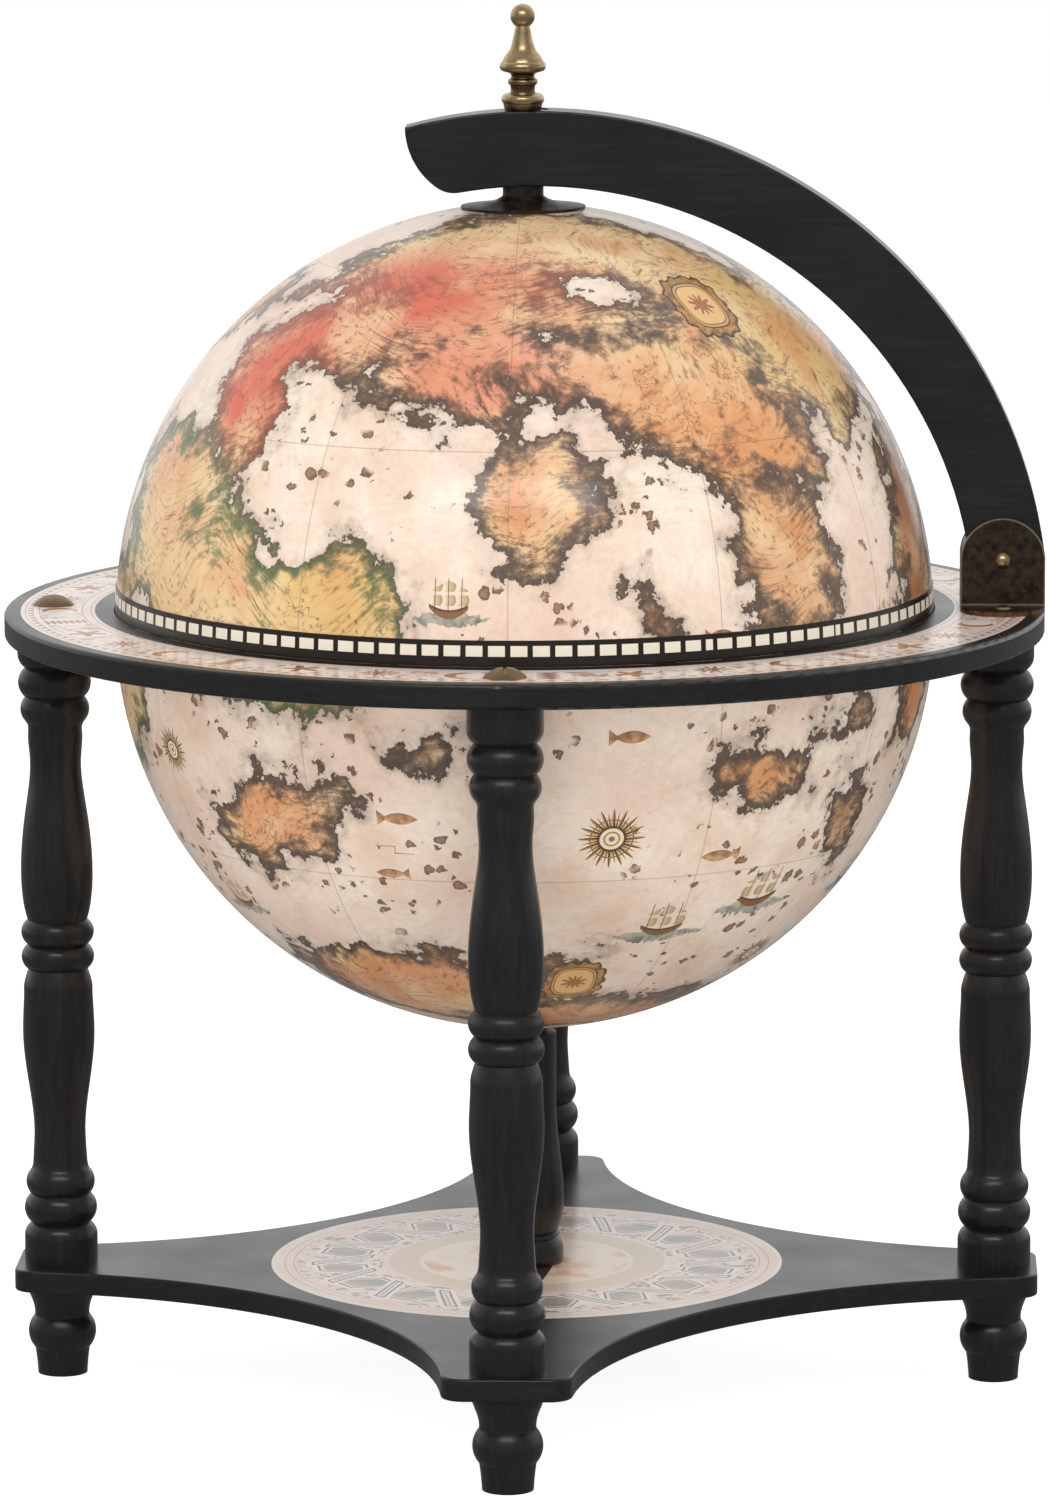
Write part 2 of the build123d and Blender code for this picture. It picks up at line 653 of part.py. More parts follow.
def make_finial():
    """Turned: foot, bead, neck, small bead, neck, wide disc, tapering stem and ball."""
    disc = finial_disc_radius
    ball_centre = finial_height - finial_ball_radius
    stem_top = ball_centre - ball_depth(finial_ball_radius, finial_stem_radius) + seat_gap
    stages = [
        ("straight", 0.07 * finial_height, 0.85 * disc),
        ("bead", 0.085 * finial_height, 0.92 * disc, 0.57 * disc),
        ("flow", 0.085 * finial_height, [(0.5, 0.52 * disc), (1, 0.55 * disc)]),
        ("bead", 0.065 * finial_height, 0.64 * disc, 0.52 * disc),
        ("flow", 0.05 * finial_height, [(0.5, 0.5 * disc), (1, 0.62 * disc)]),
        ("straight", 0.018 * finial_height, 0.9 * disc),
        ("bead", 0.088 * finial_height, disc, 0.88 * disc),
    ]
    disc_top = sum(rise for kind, rise, *shape in stages)
    stem = [(0.08, 0.83 * disc), (0.31, 0.58 * disc), (0.6, 0.43 * disc), (1, finial_stem_radius)]
    stages.append(("flow", stem_top - disc_top, stem))
    body = turned(stages, 0.78 * disc, 0) + Pos(0, 0, ball_centre) * Sphere(finial_ball_radius)
    stud_hole = cylinder_between(stud_radius + hole_gap, finial_seat - cut_past, stud_top + hole_gap)
    parts["finial"] = Pos(0, 0, finial_seat) * body - stud_hole


def make_pole():
    """What holds the lid to the arm: the stud, the collar it turns on, a washer and a dome nut."""
    stud_low = nut_top - nut_height
    parts["pole_stud"] = cylinder_between(stud_radius, stud_low, stud_top)

    lip_z = lid_centre + ball_depth(globe_radius, collar_radius)
    flare = collar_top - lip_z - collar_lip - collar_neck_height
    stages = [
        ("straight", collar_lip, collar_radius),
        ("flow", flare, [(0.12, 0.78 * collar_radius), (0.35, 0.56 * collar_radius),
                         (0.65, 0.41 * collar_radius), (1, collar_neck_radius)]),
        ("straight", collar_neck_height, collar_neck_radius),
    ]
    collar = turned(stages, collar_radius, lip_z)
    collar -= Pos(0, 0, lid_centre) * Sphere(globe_radius + hole_gap)
    bore = stud_radius + stud_running_gap
    parts["pole_collar"] = collar - cylinder_between(bore, lip_z - cut_past, collar_top + cut_past)

    hole_radius = stud_radius + hole_gap
    washer_top = nut_top + pole_washer_thickness
    parts["pole_washer"] = tube_between(hole_radius, pole_washer_radius, nut_top, washer_top)
    hexagon = RegularPolygon(nut_across_flats / 2, 6, major_radius=False)
    nut = extrude(hexagon, nut_height)
    nut += Rot(180, 0, 0) * domed_head(nut_across_flats / 2 - seat_gap, nut_dome, 0)
    nut -= cylinder_between(hole_radius, -hole_gap, nut_height + cut_past)
    parts["pole_nut"] = Pos(0, 0, stud_low) * nut


def make_lid():
    """A half shell with a flat-faced boss inside its pole and a rebate for the rim band."""
    outer = sphere_cap(globe_radius, lid_centre, lid_rim, lid_pole + cut_past)
    inner = sphere_cap(globe_inner, lid_centre, lid_rim - cut_past, lid_pole)
    boss = sphere_cap(globe_inner + cut_past, lid_centre, boss_face, lid_pole)
    boss &= cylinder_between(pole_boss_radius, boss_face, lid_pole)
    shell = outer - inner + boss
    shell -= cylinder_between(stud_radius + stud_running_gap, boss_face - cut_past, lid_pole + cut_past)
    band_top = lid_rim + band_height
    band_inner = globe_radius - band_thickness
    rebate = band_inner - print_gap
    shell -= tube_between(rebate, 2 * globe_radius, lid_rim - cut_past, band_top + print_gap)
    parts["upper_globe"] = shell
    band = sphere_cap(globe_radius, lid_centre, lid_rim, band_top)
    parts["rim_band"] = band - cylinder_between(band_inner, lid_rim - cut_past, band_top + cut_past)


make_base()
make_legs()
make_post()
make_ring()
make_bowl()
make_rack()
make_hinge()
make_arm()
make_finial()
make_pole()
make_lid()

os.makedirs("parts", exist_ok=True)
for name, shape in parts.items():
    pieces = shape if isinstance(shape, list) else [shape]
    solids = [solid for piece in pieces for solid in piece.solids()]
    whole = Compound(children=solids) if len(solids) > 1 else solids[0]
    whole.label = name
    export_step(whole, f"parts/{name}.step")
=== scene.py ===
import bpy
import bmesh
import numpy as np
from functools import partial
from math import acos, asin, cos, degrees, pi, radians, sin
from mathutils import Matrix, Vector


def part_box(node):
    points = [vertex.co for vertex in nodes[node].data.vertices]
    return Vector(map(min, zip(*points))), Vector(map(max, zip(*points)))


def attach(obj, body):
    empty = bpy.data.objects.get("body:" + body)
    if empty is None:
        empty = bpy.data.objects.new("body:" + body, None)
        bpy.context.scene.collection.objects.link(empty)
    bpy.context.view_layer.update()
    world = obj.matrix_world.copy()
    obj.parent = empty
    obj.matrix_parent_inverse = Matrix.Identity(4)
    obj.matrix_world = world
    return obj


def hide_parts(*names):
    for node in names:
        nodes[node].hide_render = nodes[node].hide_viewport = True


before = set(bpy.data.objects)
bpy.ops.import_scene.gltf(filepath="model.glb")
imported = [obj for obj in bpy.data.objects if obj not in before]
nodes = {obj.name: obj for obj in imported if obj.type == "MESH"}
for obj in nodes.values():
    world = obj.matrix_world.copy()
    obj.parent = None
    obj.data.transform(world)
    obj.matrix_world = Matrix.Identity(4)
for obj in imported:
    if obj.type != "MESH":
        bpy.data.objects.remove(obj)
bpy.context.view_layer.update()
mm = 0.001
print("frame loaded:", len(nodes), "pieces")


def colour(hexCode):
    # sRGB hex to the linear values that sockets take
    channels = [int(hexCode[i:i + 2], 16) / 255 for i in (1, 3, 5)]
    return [c / 12.92 if c <= 0.04045 else ((c + 0.055) / 1.055) ** 2.4 for c in channels] + [1]


def addNode(tree, kind, inputs=(), out=0, **settings):
    # one shader node, such as "Math.add", with its values and settings; gives one output, or all for None
    kind, _, operation = kind.partition(".")
    node = tree.nodes.new("ShaderNode" + kind)
    if operation:
        node.operation = operation.upper()
    for name, value in settings.items():
        setattr(node, name, value)
    pairs = inputs.items() if isinstance(inputs, dict) else enumerate(inputs)
    for key, value in pairs:
        if isinstance(value, bpy.types.NodeSocket):
            tree.links.new(value, node.inputs[key])
        elif value is not None:
            node.inputs[key].default_value = colour(value) if isinstance(value, str) else value
    return node.outputs if out is None else node.outputs[out]


def newMaterial(name):
    # an empty material and what adds nodes to it
    material = bpy.data.materials.new(name)
    material.use_nodes = True
    material.node_tree.nodes.clear()
    return material, partial(addNode, material.node_tree)


def millimetres(add, centre=(0, 0, 0)):
    # Object coordinates in millimetres, measured from a centre given in metres
    place = add("TexCoord", out="Object")
    shifted = add("VectorMath.subtract", [place, centre])
    return add("VectorMath.scale", {0: shifted, "Scale": 1000})


def finishWith(add, inputs, relief=None, strength=0.1, depth=0.1):
    # the surface shader over a faint relief, its depth in mm, and the output
    if relief is not None:
        bump = add("Bump", {"Strength": strength, "Distance": depth * mm, "Height": relief})
        inputs = {**inputs, "Normal": bump}
    shader = add("BsdfPrincipled", inputs)
    add("OutputMaterial", [shader], out=None)


def dress(material, *names):
    for name in names:
        slots = nodes[name].data.materials
        slots.clear()
        slots.append(material)


def closerThan(add, value, limit):
    # 1 where a value lies nearer to zero than a limit
    return add("Math.less_than", [add("Math.absolute", [value]), limit])


def within(add, value, low, high):
    # 1 where a value lies between two limits
    return closerThan(add, add("Math.subtract", [value, (low + high) / 2]), (high - low) / 2)


def allOf(add, first, *others):
    # 1 where every mask is 1; a number among them is the strength
    for other in others:
        first = add("Math.multiply", [first, other])
    return first


def painted(add, ground, *layers):
    # colours laid one over another, each with how far it covers
    for tint, cover in layers:
        ground = add("Mix", {0: cover, 6: ground, 7: tint}, data_type="RGBA", out=2)
    return ground


def washed(add, ground, marks, washes):
    # thin washes, each a tint, the mark it follows, where it starts and is full, and how far it covers
    for tint, mark, start, full, cover in washes:
        ground = painted(add, ground, (tint, add("MapRange", [marks[mark], start, full, 0.0, cover])))
    return ground


def hypotenuse(add, x, y):
    return add("VectorMath.length", [add("CombineXYZ", [x, y, 0.0])], out="Value")


def polar(add, place):
    # distance from the globe's axis in mm, and the angle round it
    x, y, z = add("SeparateXYZ", [place], out=None)
    return hypotenuse(add, x, y), add("Math.arctan2", [y, x])


def sectors(add, angle, count, shift=0.0):
    # the angle counted in equal sectors, and how far across one, from -0.5 to 0.5
    turns = add("Math.multiply_add", [angle, count / (2 * pi), count + shift])
    return turns, add("Math.subtract", [add("Math.fract", [turns]), 0.5])


def lobes(add, turn, count, inner, outer):
    # a radius that swings between two values, so many times round
    wave = add("Math.cosine", [add("Math.multiply", [turn, count])])
    return add("MapRange", [wave, -1, 1, inner, outer])


view = {
    "azimuth": 2.27,       # degrees round from straight in front
    "distance": 3353.4,    # mm along the floor
    "height": 803.9,
    "pitch": 9.223,        # degrees down
    "roll": -0.19,
    "lens": 201.1,
}


def setCamera():
    camera = bpy.data.cameras.new("camera")
    camera.sensor_fit = "VERTICAL"
    camera.sensor_height = 36
    camera.lens = view["lens"]
    camera.clip_end = 50
    eye = bpy.data.objects.new("camera", camera)
    turn = radians(view["azimuth"])
    eye.location = Vector((sin(turn), -cos(turn), 0)) * view["distance"] * mm
    eye.location.z = view["height"] * mm
    aim = Matrix.Rotation(turn, 4, "Z") @ Matrix.Rotation(radians(90 - view["pitch"]), 4, "X")
    eye.rotation_euler = (aim @ Matrix.Rotation(radians(view["roll"]), 4, "Z")).to_euler()
    bpy.context.scene.collection.objects.link(eye)
    bpy.context.scene.camera = eye


lamps = {
    # name: (place in mm, aimed at in mm, size in mm, watts, seen in reflections)
    "frontHigh": ((-60, -2300, 2300), (0, 0, 280), (2400, 420), 23, True),
    "frontLow": ((0, -2500, 420), (0, 0, 230), (3000, 640), 21, False),
    "left": ((-2300, -500, 600), (0, 0, 230), (1400, 1000), 12, False),
    "right": ((2300, -500, 600), (0, 0, 230), (1400, 1000), 10, False),
    "top": ((0, 100, 2500), (0, 0, 280), (1800, 1800), 15, False),
}


def setLamps():
    for name, (place, target, size, watts, mirrored) in lamps.items():
        lamp = bpy.data.lights.new(name, "AREA")
        lamp.shape = "RECTANGLE"
        lamp.size = size[0] * mm
        lamp.size_y = size[1] * mm
        lamp.energy = watts
        holder = bpy.data.objects.new(name, lamp)
        holder.location = Vector(place) * mm
        aim = (Vector(target) - Vector(place)).to_track_quat("-Z", "Y")
        holder.rotation_euler = aim.to_euler()
        holder.visible_glossy = mirrored
        bpy.context.scene.collection.objects.link(holder)


sky = {
    "lighting": 0.4,
    "mirroredFront": 0.3,      # seen in reflections, on the camera's side
    "mirroredBack": 1.0,
}


def setWorld():
    # white to the camera and in reflections from behind, dimmer on the camera's side
    world = bpy.data.worlds.new("studio")
    world.use_nodes = True
    world.node_tree.nodes.clear()
    add = partial(addNode, world.node_tree)
    direction = add("TexCoord", out="Generated")
    along = add("SeparateXYZ", [direction], out="Y")
    glow = add("MapRange", [along, -0.3, 0.7, sky["mirroredFront"], sky["mirroredBack"]])
    path = add("LightPath", out=None)
    mirrored = add("Mix", {0: path["Is Glossy Ray"], 2: sky["lighting"], 3: glow}, data_type="FLOAT")
    strength = add("Mix", {0: path["Is Camera Ray"], 2: mirrored, 3: 1.0}, data_type="FLOAT")
    light = add("Background", ["#ffffff", strength])
    add("OutputWorld", [light], out=None)
    bpy.context.scene.world = world


sweep = {
    "radius": 6,               # metres
    "paper": "#ededed",
    "shadow": "#a2a2a2",       # how much of a shadow the eye sees
    "glow": 0.92,
    "mirrored": 0.2,
}


def floorMaterial():
    # white paper sweep: white to the eye but for a faint shadow, dim in reflections
    material, add = newMaterial("paper_sweep")
    path = add("LightPath", out=None)
    paper = add("BsdfDiffuse", {"Color": sweep["paper"]})
    shadowed = add("BsdfDiffuse", {"Color": sweep["shadow"]})
    glow = add("Emission", {"Color": "#ffffff", "Strength": sweep["glow"]})
    bright = add("AddShader", [shadowed, glow])
    sheen = add("Emission", {"Color": "#ffffff", "Strength": sweep["mirrored"]})
    seen = add("MixShader", [path["Is Camera Ray"], paper, bright])
    shown = add("MixShader", [path["Is Glossy Ray"], seen, sheen])
    add("OutputMaterial", [shown], out=None)
    return material


def makeFloor():
    mesh = bpy.data.meshes.new("floor")
    form = bmesh.new()
    bmesh.ops.create_circle(form, cap_ends=True, radius=sweep["radius"], segments=96)
    form.to_mesh(mesh)
    form.free()
    floor = bpy.data.objects.new("floor", mesh)
    mesh.materials.append(floorMaterial())
    bpy.context.scene.collection.objects.link(floor)


scene = bpy.context.scene
scene.view_settings.view_transform = "Standard"
setCamera()
setLamps()
setWorld()
makeFloor()
print("studio set")


lacquer = {
    "black": "#131313",
    "worn": "#1b1a1a",
    "grain": "#2c2a29",
    "roughness": 0.3,
    "grainCover": 0.38,
    "grainAcross": 1.6,    # mm between pores
    "grainAlong": 28,
}


def lacquerMaterial(name, along):
    # black nitrocellulose lacquer sprayed on beech: satin, the closed grain just felt under the film
    material, add = newMaterial(name)
    place = millimetres(add)
    stretch = [1 / lacquer["grainAcross"]] * 3
    stretch["XYZ".index(along)] = 1 / lacquer["grainAlong"]
    fibres = add("VectorMath.multiply", [place, stretch])
    pores = add("TexNoise", {"Vector": fibres, "Scale": 1, "Detail": 4, "Roughness": 0.6})
    film = add("TexNoise", {"Vector": place, "Scale": 0.02, "Detail": 3})
    shade = painted(add, lacquer["black"], (lacquer["worn"], film),
                    (lacquer["grain"], add("MapRange", [pores, 0.46, 0.7, 0.0, lacquer["grainCover"]])))
    satin = add("MapRange", [film, 0.3, 0.7, lacquer["roughness"] - 0.05, lacquer["roughness"] + 0.06])
    finishWith(add, {"Base Color": shade, "Roughness": satin, "Specular IOR Level": 0.5}, pores, 0.05)
    return material


uprightLacquer = lacquerMaterial("satin_black_lacquer_upright", "Z")
flatLacquer = lacquerMaterial("satin_black_lacquer_flat", "X")
dress(uprightLacquer, *[f"{part}_{side}" for part in ("leg", "foot")
                        for side in ("front", "right", "back", "left")])
dress(flatLacquer, "base_plate", "horizon_ring", "lid_arm")
print("lacquered wood done")


chart = {
    "sea": "#fbecda",
    "ink": "#6b5243",
    "coast": "#3b2f2a",
    "age": [("#a98467", "fleck", 0.3, 0.75, 0.16)],    # brown bloom over the whole sheet
    "graticule": 15,           # degrees between the fine lines
    "graticuleWidth": 0.42,    # mm
    "coastRoughness": 25,      # mm that the coast wanders
    "shoreWidth": 12.5,        # mm of dark shading inside the coast
    "seaShade": 8,             # mm of shading outside it
    "hillPitch": 6.4,          # mm between hills
    "hillHeight": 2.6,
    "landMerge": 9,            # mm over which neighbouring lands melt together
    "gulfMerge": 5,
    "tintReach": 14,           # mm that a land's tint spreads past its shore
    "tintFade": 26,
    "figureReach": 1.7,        # half widths round a figure that belong to it
    "varnish": {"Roughness": 0.34, "Specular IOR Level": 0.45, "Coat Weight": 0.35, "Coat Roughness": 0.12},
}

# uneven marks of the print: mm across, detail, roughness
printed = {
    "cloud": (46, 5, 0.6),
    "coast": (17, 8, 0.66),
    "fleck": (3.2, 4, 0.6),
    "patch": (31, 4, 0.55),
    "group": (34, 3, 0.5),
}

# tint, the mark it follows, where it starts and is full, how far it covers
seaWashes = [
    ("#f0d3bf", "cloud", 0.35, 0.66, 1.0),
    ("#dfb08d", "stroke", 0.5, 0.78, 0.42),
    ("#e3bfa0", "patch", 0.5, 0.68, 0.5),
]

landWashes = [
    ("#f6dfb2", "cloud", 0.44, 0.62, 0.6),
    ("#df8f60", "patch", 0.5, 0.64, 0.5),
    ("#b06c40", "stroke", 0.5, 0.68, 0.62),
]

pen = {
    "stroke": (8, 8, 2.3),     # mm
    "bendPitch": 62,           # mm
    "bend": 95,                # mm that a stroke is carried aside
}

isle = {
    "pitch": 5.8,              # mm between islets
    "edgePitch": 3.6,
    "edgeReach": 6,
    "offShore": 4.0,
    "beach": "#3d332d",
    "inside": "#9a6a48",
}

tints = {
    "straw": "#ecc993",
    "gold": "#e6bf7c",
    "orange": "#e5a16c",
    "ochre": "#d9965f",
    "umber": "#a67550",
    "red": "#d9644a",
    "rose": "#e89a7c",
}

shores = {
    "slate": "#4a403c",
    "moss": "#4b6d45",
    "rust": "#9c4a34",
}

# longitude (0 is the front), latitude, half length and half width in mm, turn, tint, shore
lands = [
    (8, 64, 118, 50, 0, "straw", "slate"),
    (58, 42, 74, 42, 28, "gold", "slate"),
    (28, 38, 52, 30, -22, "orange", "slate"),
    (42, 14, 25, 42, 10, "ochre", "slate"),
    (76, 12, 24, 48, -14, "umber", "slate"),
    (-32, 55, 70, 27, 28, "red", "rust"),
    (-52, 37, 21, 37, 26, "red", "rust"),
    (-6, 42, 44, 25, 8, "rose", "slate"),
    (-55, 14, 72, 37, -30, "straw", "moss"),
    (-27, 5, 40, 30, 16, "gold", "moss"),
    (-78, -4, 36, 42, 0, "straw", "moss"),
    (5, 24, 25, 30, -24, "ochre", "slate"),
    (20, 7, 7, 14, 24, "umber", "slate"),
    (118, 56, 90, 40, 12, "straw", "slate"),
    (104, 33, 42, 24, -30, "orange", "slate"),
    (146, 24, 27, 50, 16, "ochre", "slate"),
    (128, 4, 13, 23, -20, "umber", "slate"),
    (186, 60, 66, 22, -8, "rose", "rust"),
    (203, 36, 66, 31, -14, "gold", "moss"),
    (224, 11, 27, 42, -24, "straw", "moss"),
    (181, 8, 18, 12, 10, "ochre", "slate"),
    (258, 48, 58, 30, 24, "orange", "slate"),
    (264, 18, 19, 30, 10, "gold", "slate"),
    (-38, -22, 37, 21, 20, "orange", "slate"),
    (-20, -55, 66, 31, 8, "orange", "slate"),
    (24, -66, 54, 24, -6, "ochre", "slate"),
    (60, -25, 11, 22, 28, "umber", "slate"),
    (73, -9, 18, 15, 0, "ochre", "slate"),
    (-11, -10, 12, 6, 12, "umber", "slate"),
    (37, -15, 25, 14, -16, "ochre", "slate"),
    (56, -8, 12, 7, 10, "umber", "slate"),
    (108, -16, 38, 25, 16, "gold", "moss"),
    (130, -39, 33, 29, -20, "orange", "slate"),
    (152, -15, 13, 8, 0, "umber", "slate"),
    (176, -60, 54, 22, 0, "ochre", "slate"),
    (205, -28, 44, 26, -14, "ochre", "slate"),
    (229, -12, 22, 15, 30, "gold", "moss"),
    (252, -51, 48, 23, 12, "orange", "slate"),
    (270, -24, 12, 20, 0, "umber", "slate"),
]

# bays: longitude, latitude, half length, half width, turn
gulfs = [
    (22, 57, 17, 9, -12),
    (-24, 29, 40, 8, 22),
    (16, 31, 26, 6, -38),
    (-2, -46, 14, 16, 20),
    (61, 24, 6, 30, 24),
    (-64, 50, 34, 8, 30),
    (166, 47, 30, 9, 20),
    (117, 44, 22, 7, -24),
    (216, 27, 7, 24, 30),
    (124, -30, 18, 6, 30),
]

# longitude, latitude, half width in mm, 1 or -1 for the way it faces
ships = [(-8, 9, 11, 1), (45, -35, 14, -1), (27, -39, 13, 1), (76, -36, 12, -1), (62, 3, 9, -1),
         (-58, -38, 11, -1), (92, -6, 12, 1), (170, -12, 13, -1), (187, -17, 11, -1), (245, 10, 11, 1),
         (170, 25, 11, -1)]
fishes = [(-16, -20, 9.5, 1), (-19, -29, 8, -1), (17, -8, 9.5, 1), (33, -27, 10, -1), (88, -41, 9, 1),
          (30, 4, 7.5, 1), (150, -30, 10, 1), (164, -36, 8, -1), (255, -12, 10, 1), (246, -24, 8, 1)]
roses = [(15, -23, 13.5, 1), (60, -50, 12, 1), (-58, -14, 10, 1), (201, 12, 13, 1), (104, 12, 13, 1)]
plaques = [(47, 53, 18, 1), (13, -52, 16, 1), (198, 38, 18, 1), (205, -28, 17, 1)]

# a ship's sizes, in its half widths from its middle
shipForm = {
    "water": "#6f8577",
    "waterReach": 1.55,
    "waterDepth": 0.26,
    "waterLevel": -0.52,
    "planks": "#8a5f3c",
    "hullEnds": (-0.72, 0.68),
    "keel": -0.52,
    "keelRise": 0.75,
    "spars": "#5c4030",
    "rail": (-0.28, -0.2),
    "railRise": 0.42,
    "canvas": "#efdcb8",
    "canvasShade": "#a98558",
    "sailCorner": (-0.75, -0.1),
    "sailsPerUnit": (2.1, 2.0),
    "mast": (-0.3, 0.92),
}

# a fish's sizes, in the same way
fishForm = {
    "skin": "#a5704a",
    "scales": "#d9ab7c",
    "back": "#6b4a36",
    "halfLength": 0.78,
    "halfHeight": 0.27,
    "tail": (-1.0, -0.55),
}

# shares of a wind rose's half width
roseForm = {
    "rays": ((32, 0.4, 0.86, 0.42), (16, 0.4, 1.0, 0.36)),    # count, start, end, width at the start
    "rings": ((0.36, 0.44, "#54422f"), (0.0, 0.36, "#f3e0c4"), (0.2, 0.25, "#a97a4a"),
              (0.62, 0.66, "#8b6b4c"), (0.0, 0.09, "#7b7168")),
    "pale": "#cfa163",
    "dark": "#46392e",
}


def unitAt(longitude, latitude):
    lon, lat = radians(longitude), radians(latitude)
    return np.array([cos(lat) * sin(lon), -cos(lat) * cos(lon), sin(lat)])


def aroundPoint(points, longitude, latitude, radius):
    # mm east and north of a place on the globe, measured over its surface
    lon = radians(longitude)
    up = unitAt(longitude, latitude)
    east = np.array([cos(lon), sin(lon), 0])
    north = np.cross(up, east)
    reach = np.arccos(np.clip(points @ up, -1, 1))
    stretch = radius * reach / np.maximum(np.sin(reach), 1e-6)
    return stretch * (points @ east), stretch * (points @ north)


def insideEllipse(points, place, radius):
    longitude, latitude, halfLength, halfWidth, turn = place[:5]
    x, y = aroundPoint(points, longitude, latitude, radius)
    c, s = cos(radians(turn)), sin(radians(turn))
    along, across = x * c + y * s, y * c - x * s
    return (1 - np.hypot(along / halfLength, across / halfWidth)) * min(halfLength, halfWidth)


def softMax(a, b, blur):
    mix = np.clip(0.5 + 0.5 * (a - b) / blur, 0, 1)
    return b + (a - b) * mix + blur * mix * (1 - mix)


def paintLands(mesh, points, radius):
    # how far inland each point lies, and the tints of its land and its shore
    inland = np.full(len(points), -80.0)    # mm, far out at sea
    tint = np.tile(colour(tints["straw"]), (len(points), 1))
    shore = np.tile(colour(shores["slate"]), (len(points), 1))
    for land in lands:
        depth = insideEllipse(points, land, radius)
        weight = np.clip((depth + chart["tintReach"]) / chart["tintFade"], 0, 1)[:, None]
        tint += (np.array(colour(tints[land[5]])) - tint) * weight
        shore += (np.array(colour(shores[land[6]])) - shore) * weight
        inland = softMax(inland, depth, chart["landMerge"])
    for gulf in gulfs:
        inland = -softMax(-inland, insideEllipse(points, gulf, radius), chart["gulfMerge"])
    mesh.attributes.new("inland", "FLOAT", "POINT").data.foreach_set("value", inland)
    mesh.attributes.new("landTint", "FLOAT_COLOR", "POINT").data.foreach_set("color", tint.ravel())
    mesh.attributes.new("shoreTint", "FLOAT_COLOR", "POINT").data.foreach_set("color", shore.ravel())


def placeFigures(mesh, name, points, places, radius):
    # each point's place on the nearest figure, in that figure's half widths; z is 1 near a figure
    best = np.full(len(points), np.inf)
    spot = np.zeros((len(points), 3))
    for longitude, latitude, size, way in places:
        x, y = aroundPoint(points, longitude, latitude, radius)
        away = np.hypot(x, y) / size
        nearer = away < best
        best[nearer] = away[nearer]
        spot[nearer] = np.column_stack([x * way / size, y / size, away < chart["figureReach"]])[nearer]
    mesh.attributes.new(name, "FLOAT_VECTOR", "POINT").data.foreach_set("vector", spot.ravel())


def paintChart(piece, centreZ, radius):
    mesh = piece.data
    points = np.zeros(len(mesh.vertices) * 3)
    mesh.vertices.foreach_get("co", points)
    points = points.reshape(-1, 3) - [0, 0, centreZ]
    points /= np.maximum(np.linalg.norm(points, axis=1), 1e-9)[:, None]
    paintLands(mesh, points, radius / mm)
    for name, places in (("ship", ships), ("fish", fishes), ("rose", roses), ("plaque", plaques)):
        placeFigures(mesh, name, points, places, radius / mm)


def figurePlace(add, name):
    # place on the nearest figure in its half widths, and whether one is near
    spot = add("Attribute", out="Vector", attribute_name=name)
    x, y, flag = add("SeparateXYZ", [spot], out=None)
    return x, y, add("Math.greater_than", [flag, 0.99])


def drawShips(add, ground, grit):
    # a high-sided hull, two rows of three filled sails, and a patch of green water
    x, y, near = figurePlace(add, "ship")
    ragged = add("MapRange", [grit, 0.3, 0.7, -0.12, 0.12])
    reach = add("Math.divide", [x, shipForm["waterReach"]])
    lens = add("Math.subtract", [1.0, add("Math.multiply", [reach, reach])])
    deep = add("Math.multiply", [lens, shipForm["waterDepth"]])
    level = add("Math.subtract", [add("Math.add", [y, ragged]), shipForm["waterLevel"]])
    streaks = add("MapRange", [grit, 0.35, 0.65, 0.45, 0.95])
    water = allOf(add, near, closerThan(add, level, deep), streaks)

    squared = add("Math.multiply", [x, x])
    overKeel = add("Math.subtract", [y, add("Math.multiply", [squared, shipForm["keelRise"]])])
    overRail = add("Math.subtract", [y, add("Math.multiply", [squared, shipForm["railRise"]])])
    hull = allOf(add, near, add("Math.greater_than", [overKeel, shipForm["keel"]]),
                 add("Math.less_than", [overRail, shipForm["rail"][1]]),
                 within(add, x, *shipForm["hullEnds"]))
    rail = allOf(add, hull, within(add, overRail, *shipForm["rail"]))

    column, row = [add("Math.multiply_add", [value, count, -corner * count]) for value, count, corner
                   in zip((x, y), shipForm["sailsPerUnit"], shipForm["sailCorner"])]
    rowPart = add("Math.fract", [row])
    belly = add("Math.sine", [add("Math.multiply", [rowPart, pi])])
    blown = add("Math.multiply_add", [belly, -0.22, column])
    columnPart = add("Math.fract", [blown])
    lean = add("Math.multiply_add", [add("Math.absolute", [x]), 0.5, y])
    sails = allOf(add, near, within(add, columnPart, 0.14, 0.86), within(add, rowPart, 0.1, 0.84),
                  within(add, blown, 0.0, 3.0), within(add, row, 0.0, 2.0),
                  add("Math.less_than", [lean, 0.84]))
    cloth = painted(add, shipForm["canvas"], (shipForm["canvasShade"], columnPart))
    masts = allOf(add, near, within(add, add("Math.fract", [column]), 0.47, 0.55),
                  within(add, column, 0.0, 3.0), within(add, y, *shipForm["mast"]), 0.8)
    return painted(add, ground, (shipForm["water"], water), (shipForm["planks"], hull),
                   (shipForm["spars"], rail), (cloth, sails), (shipForm["spars"], masts))


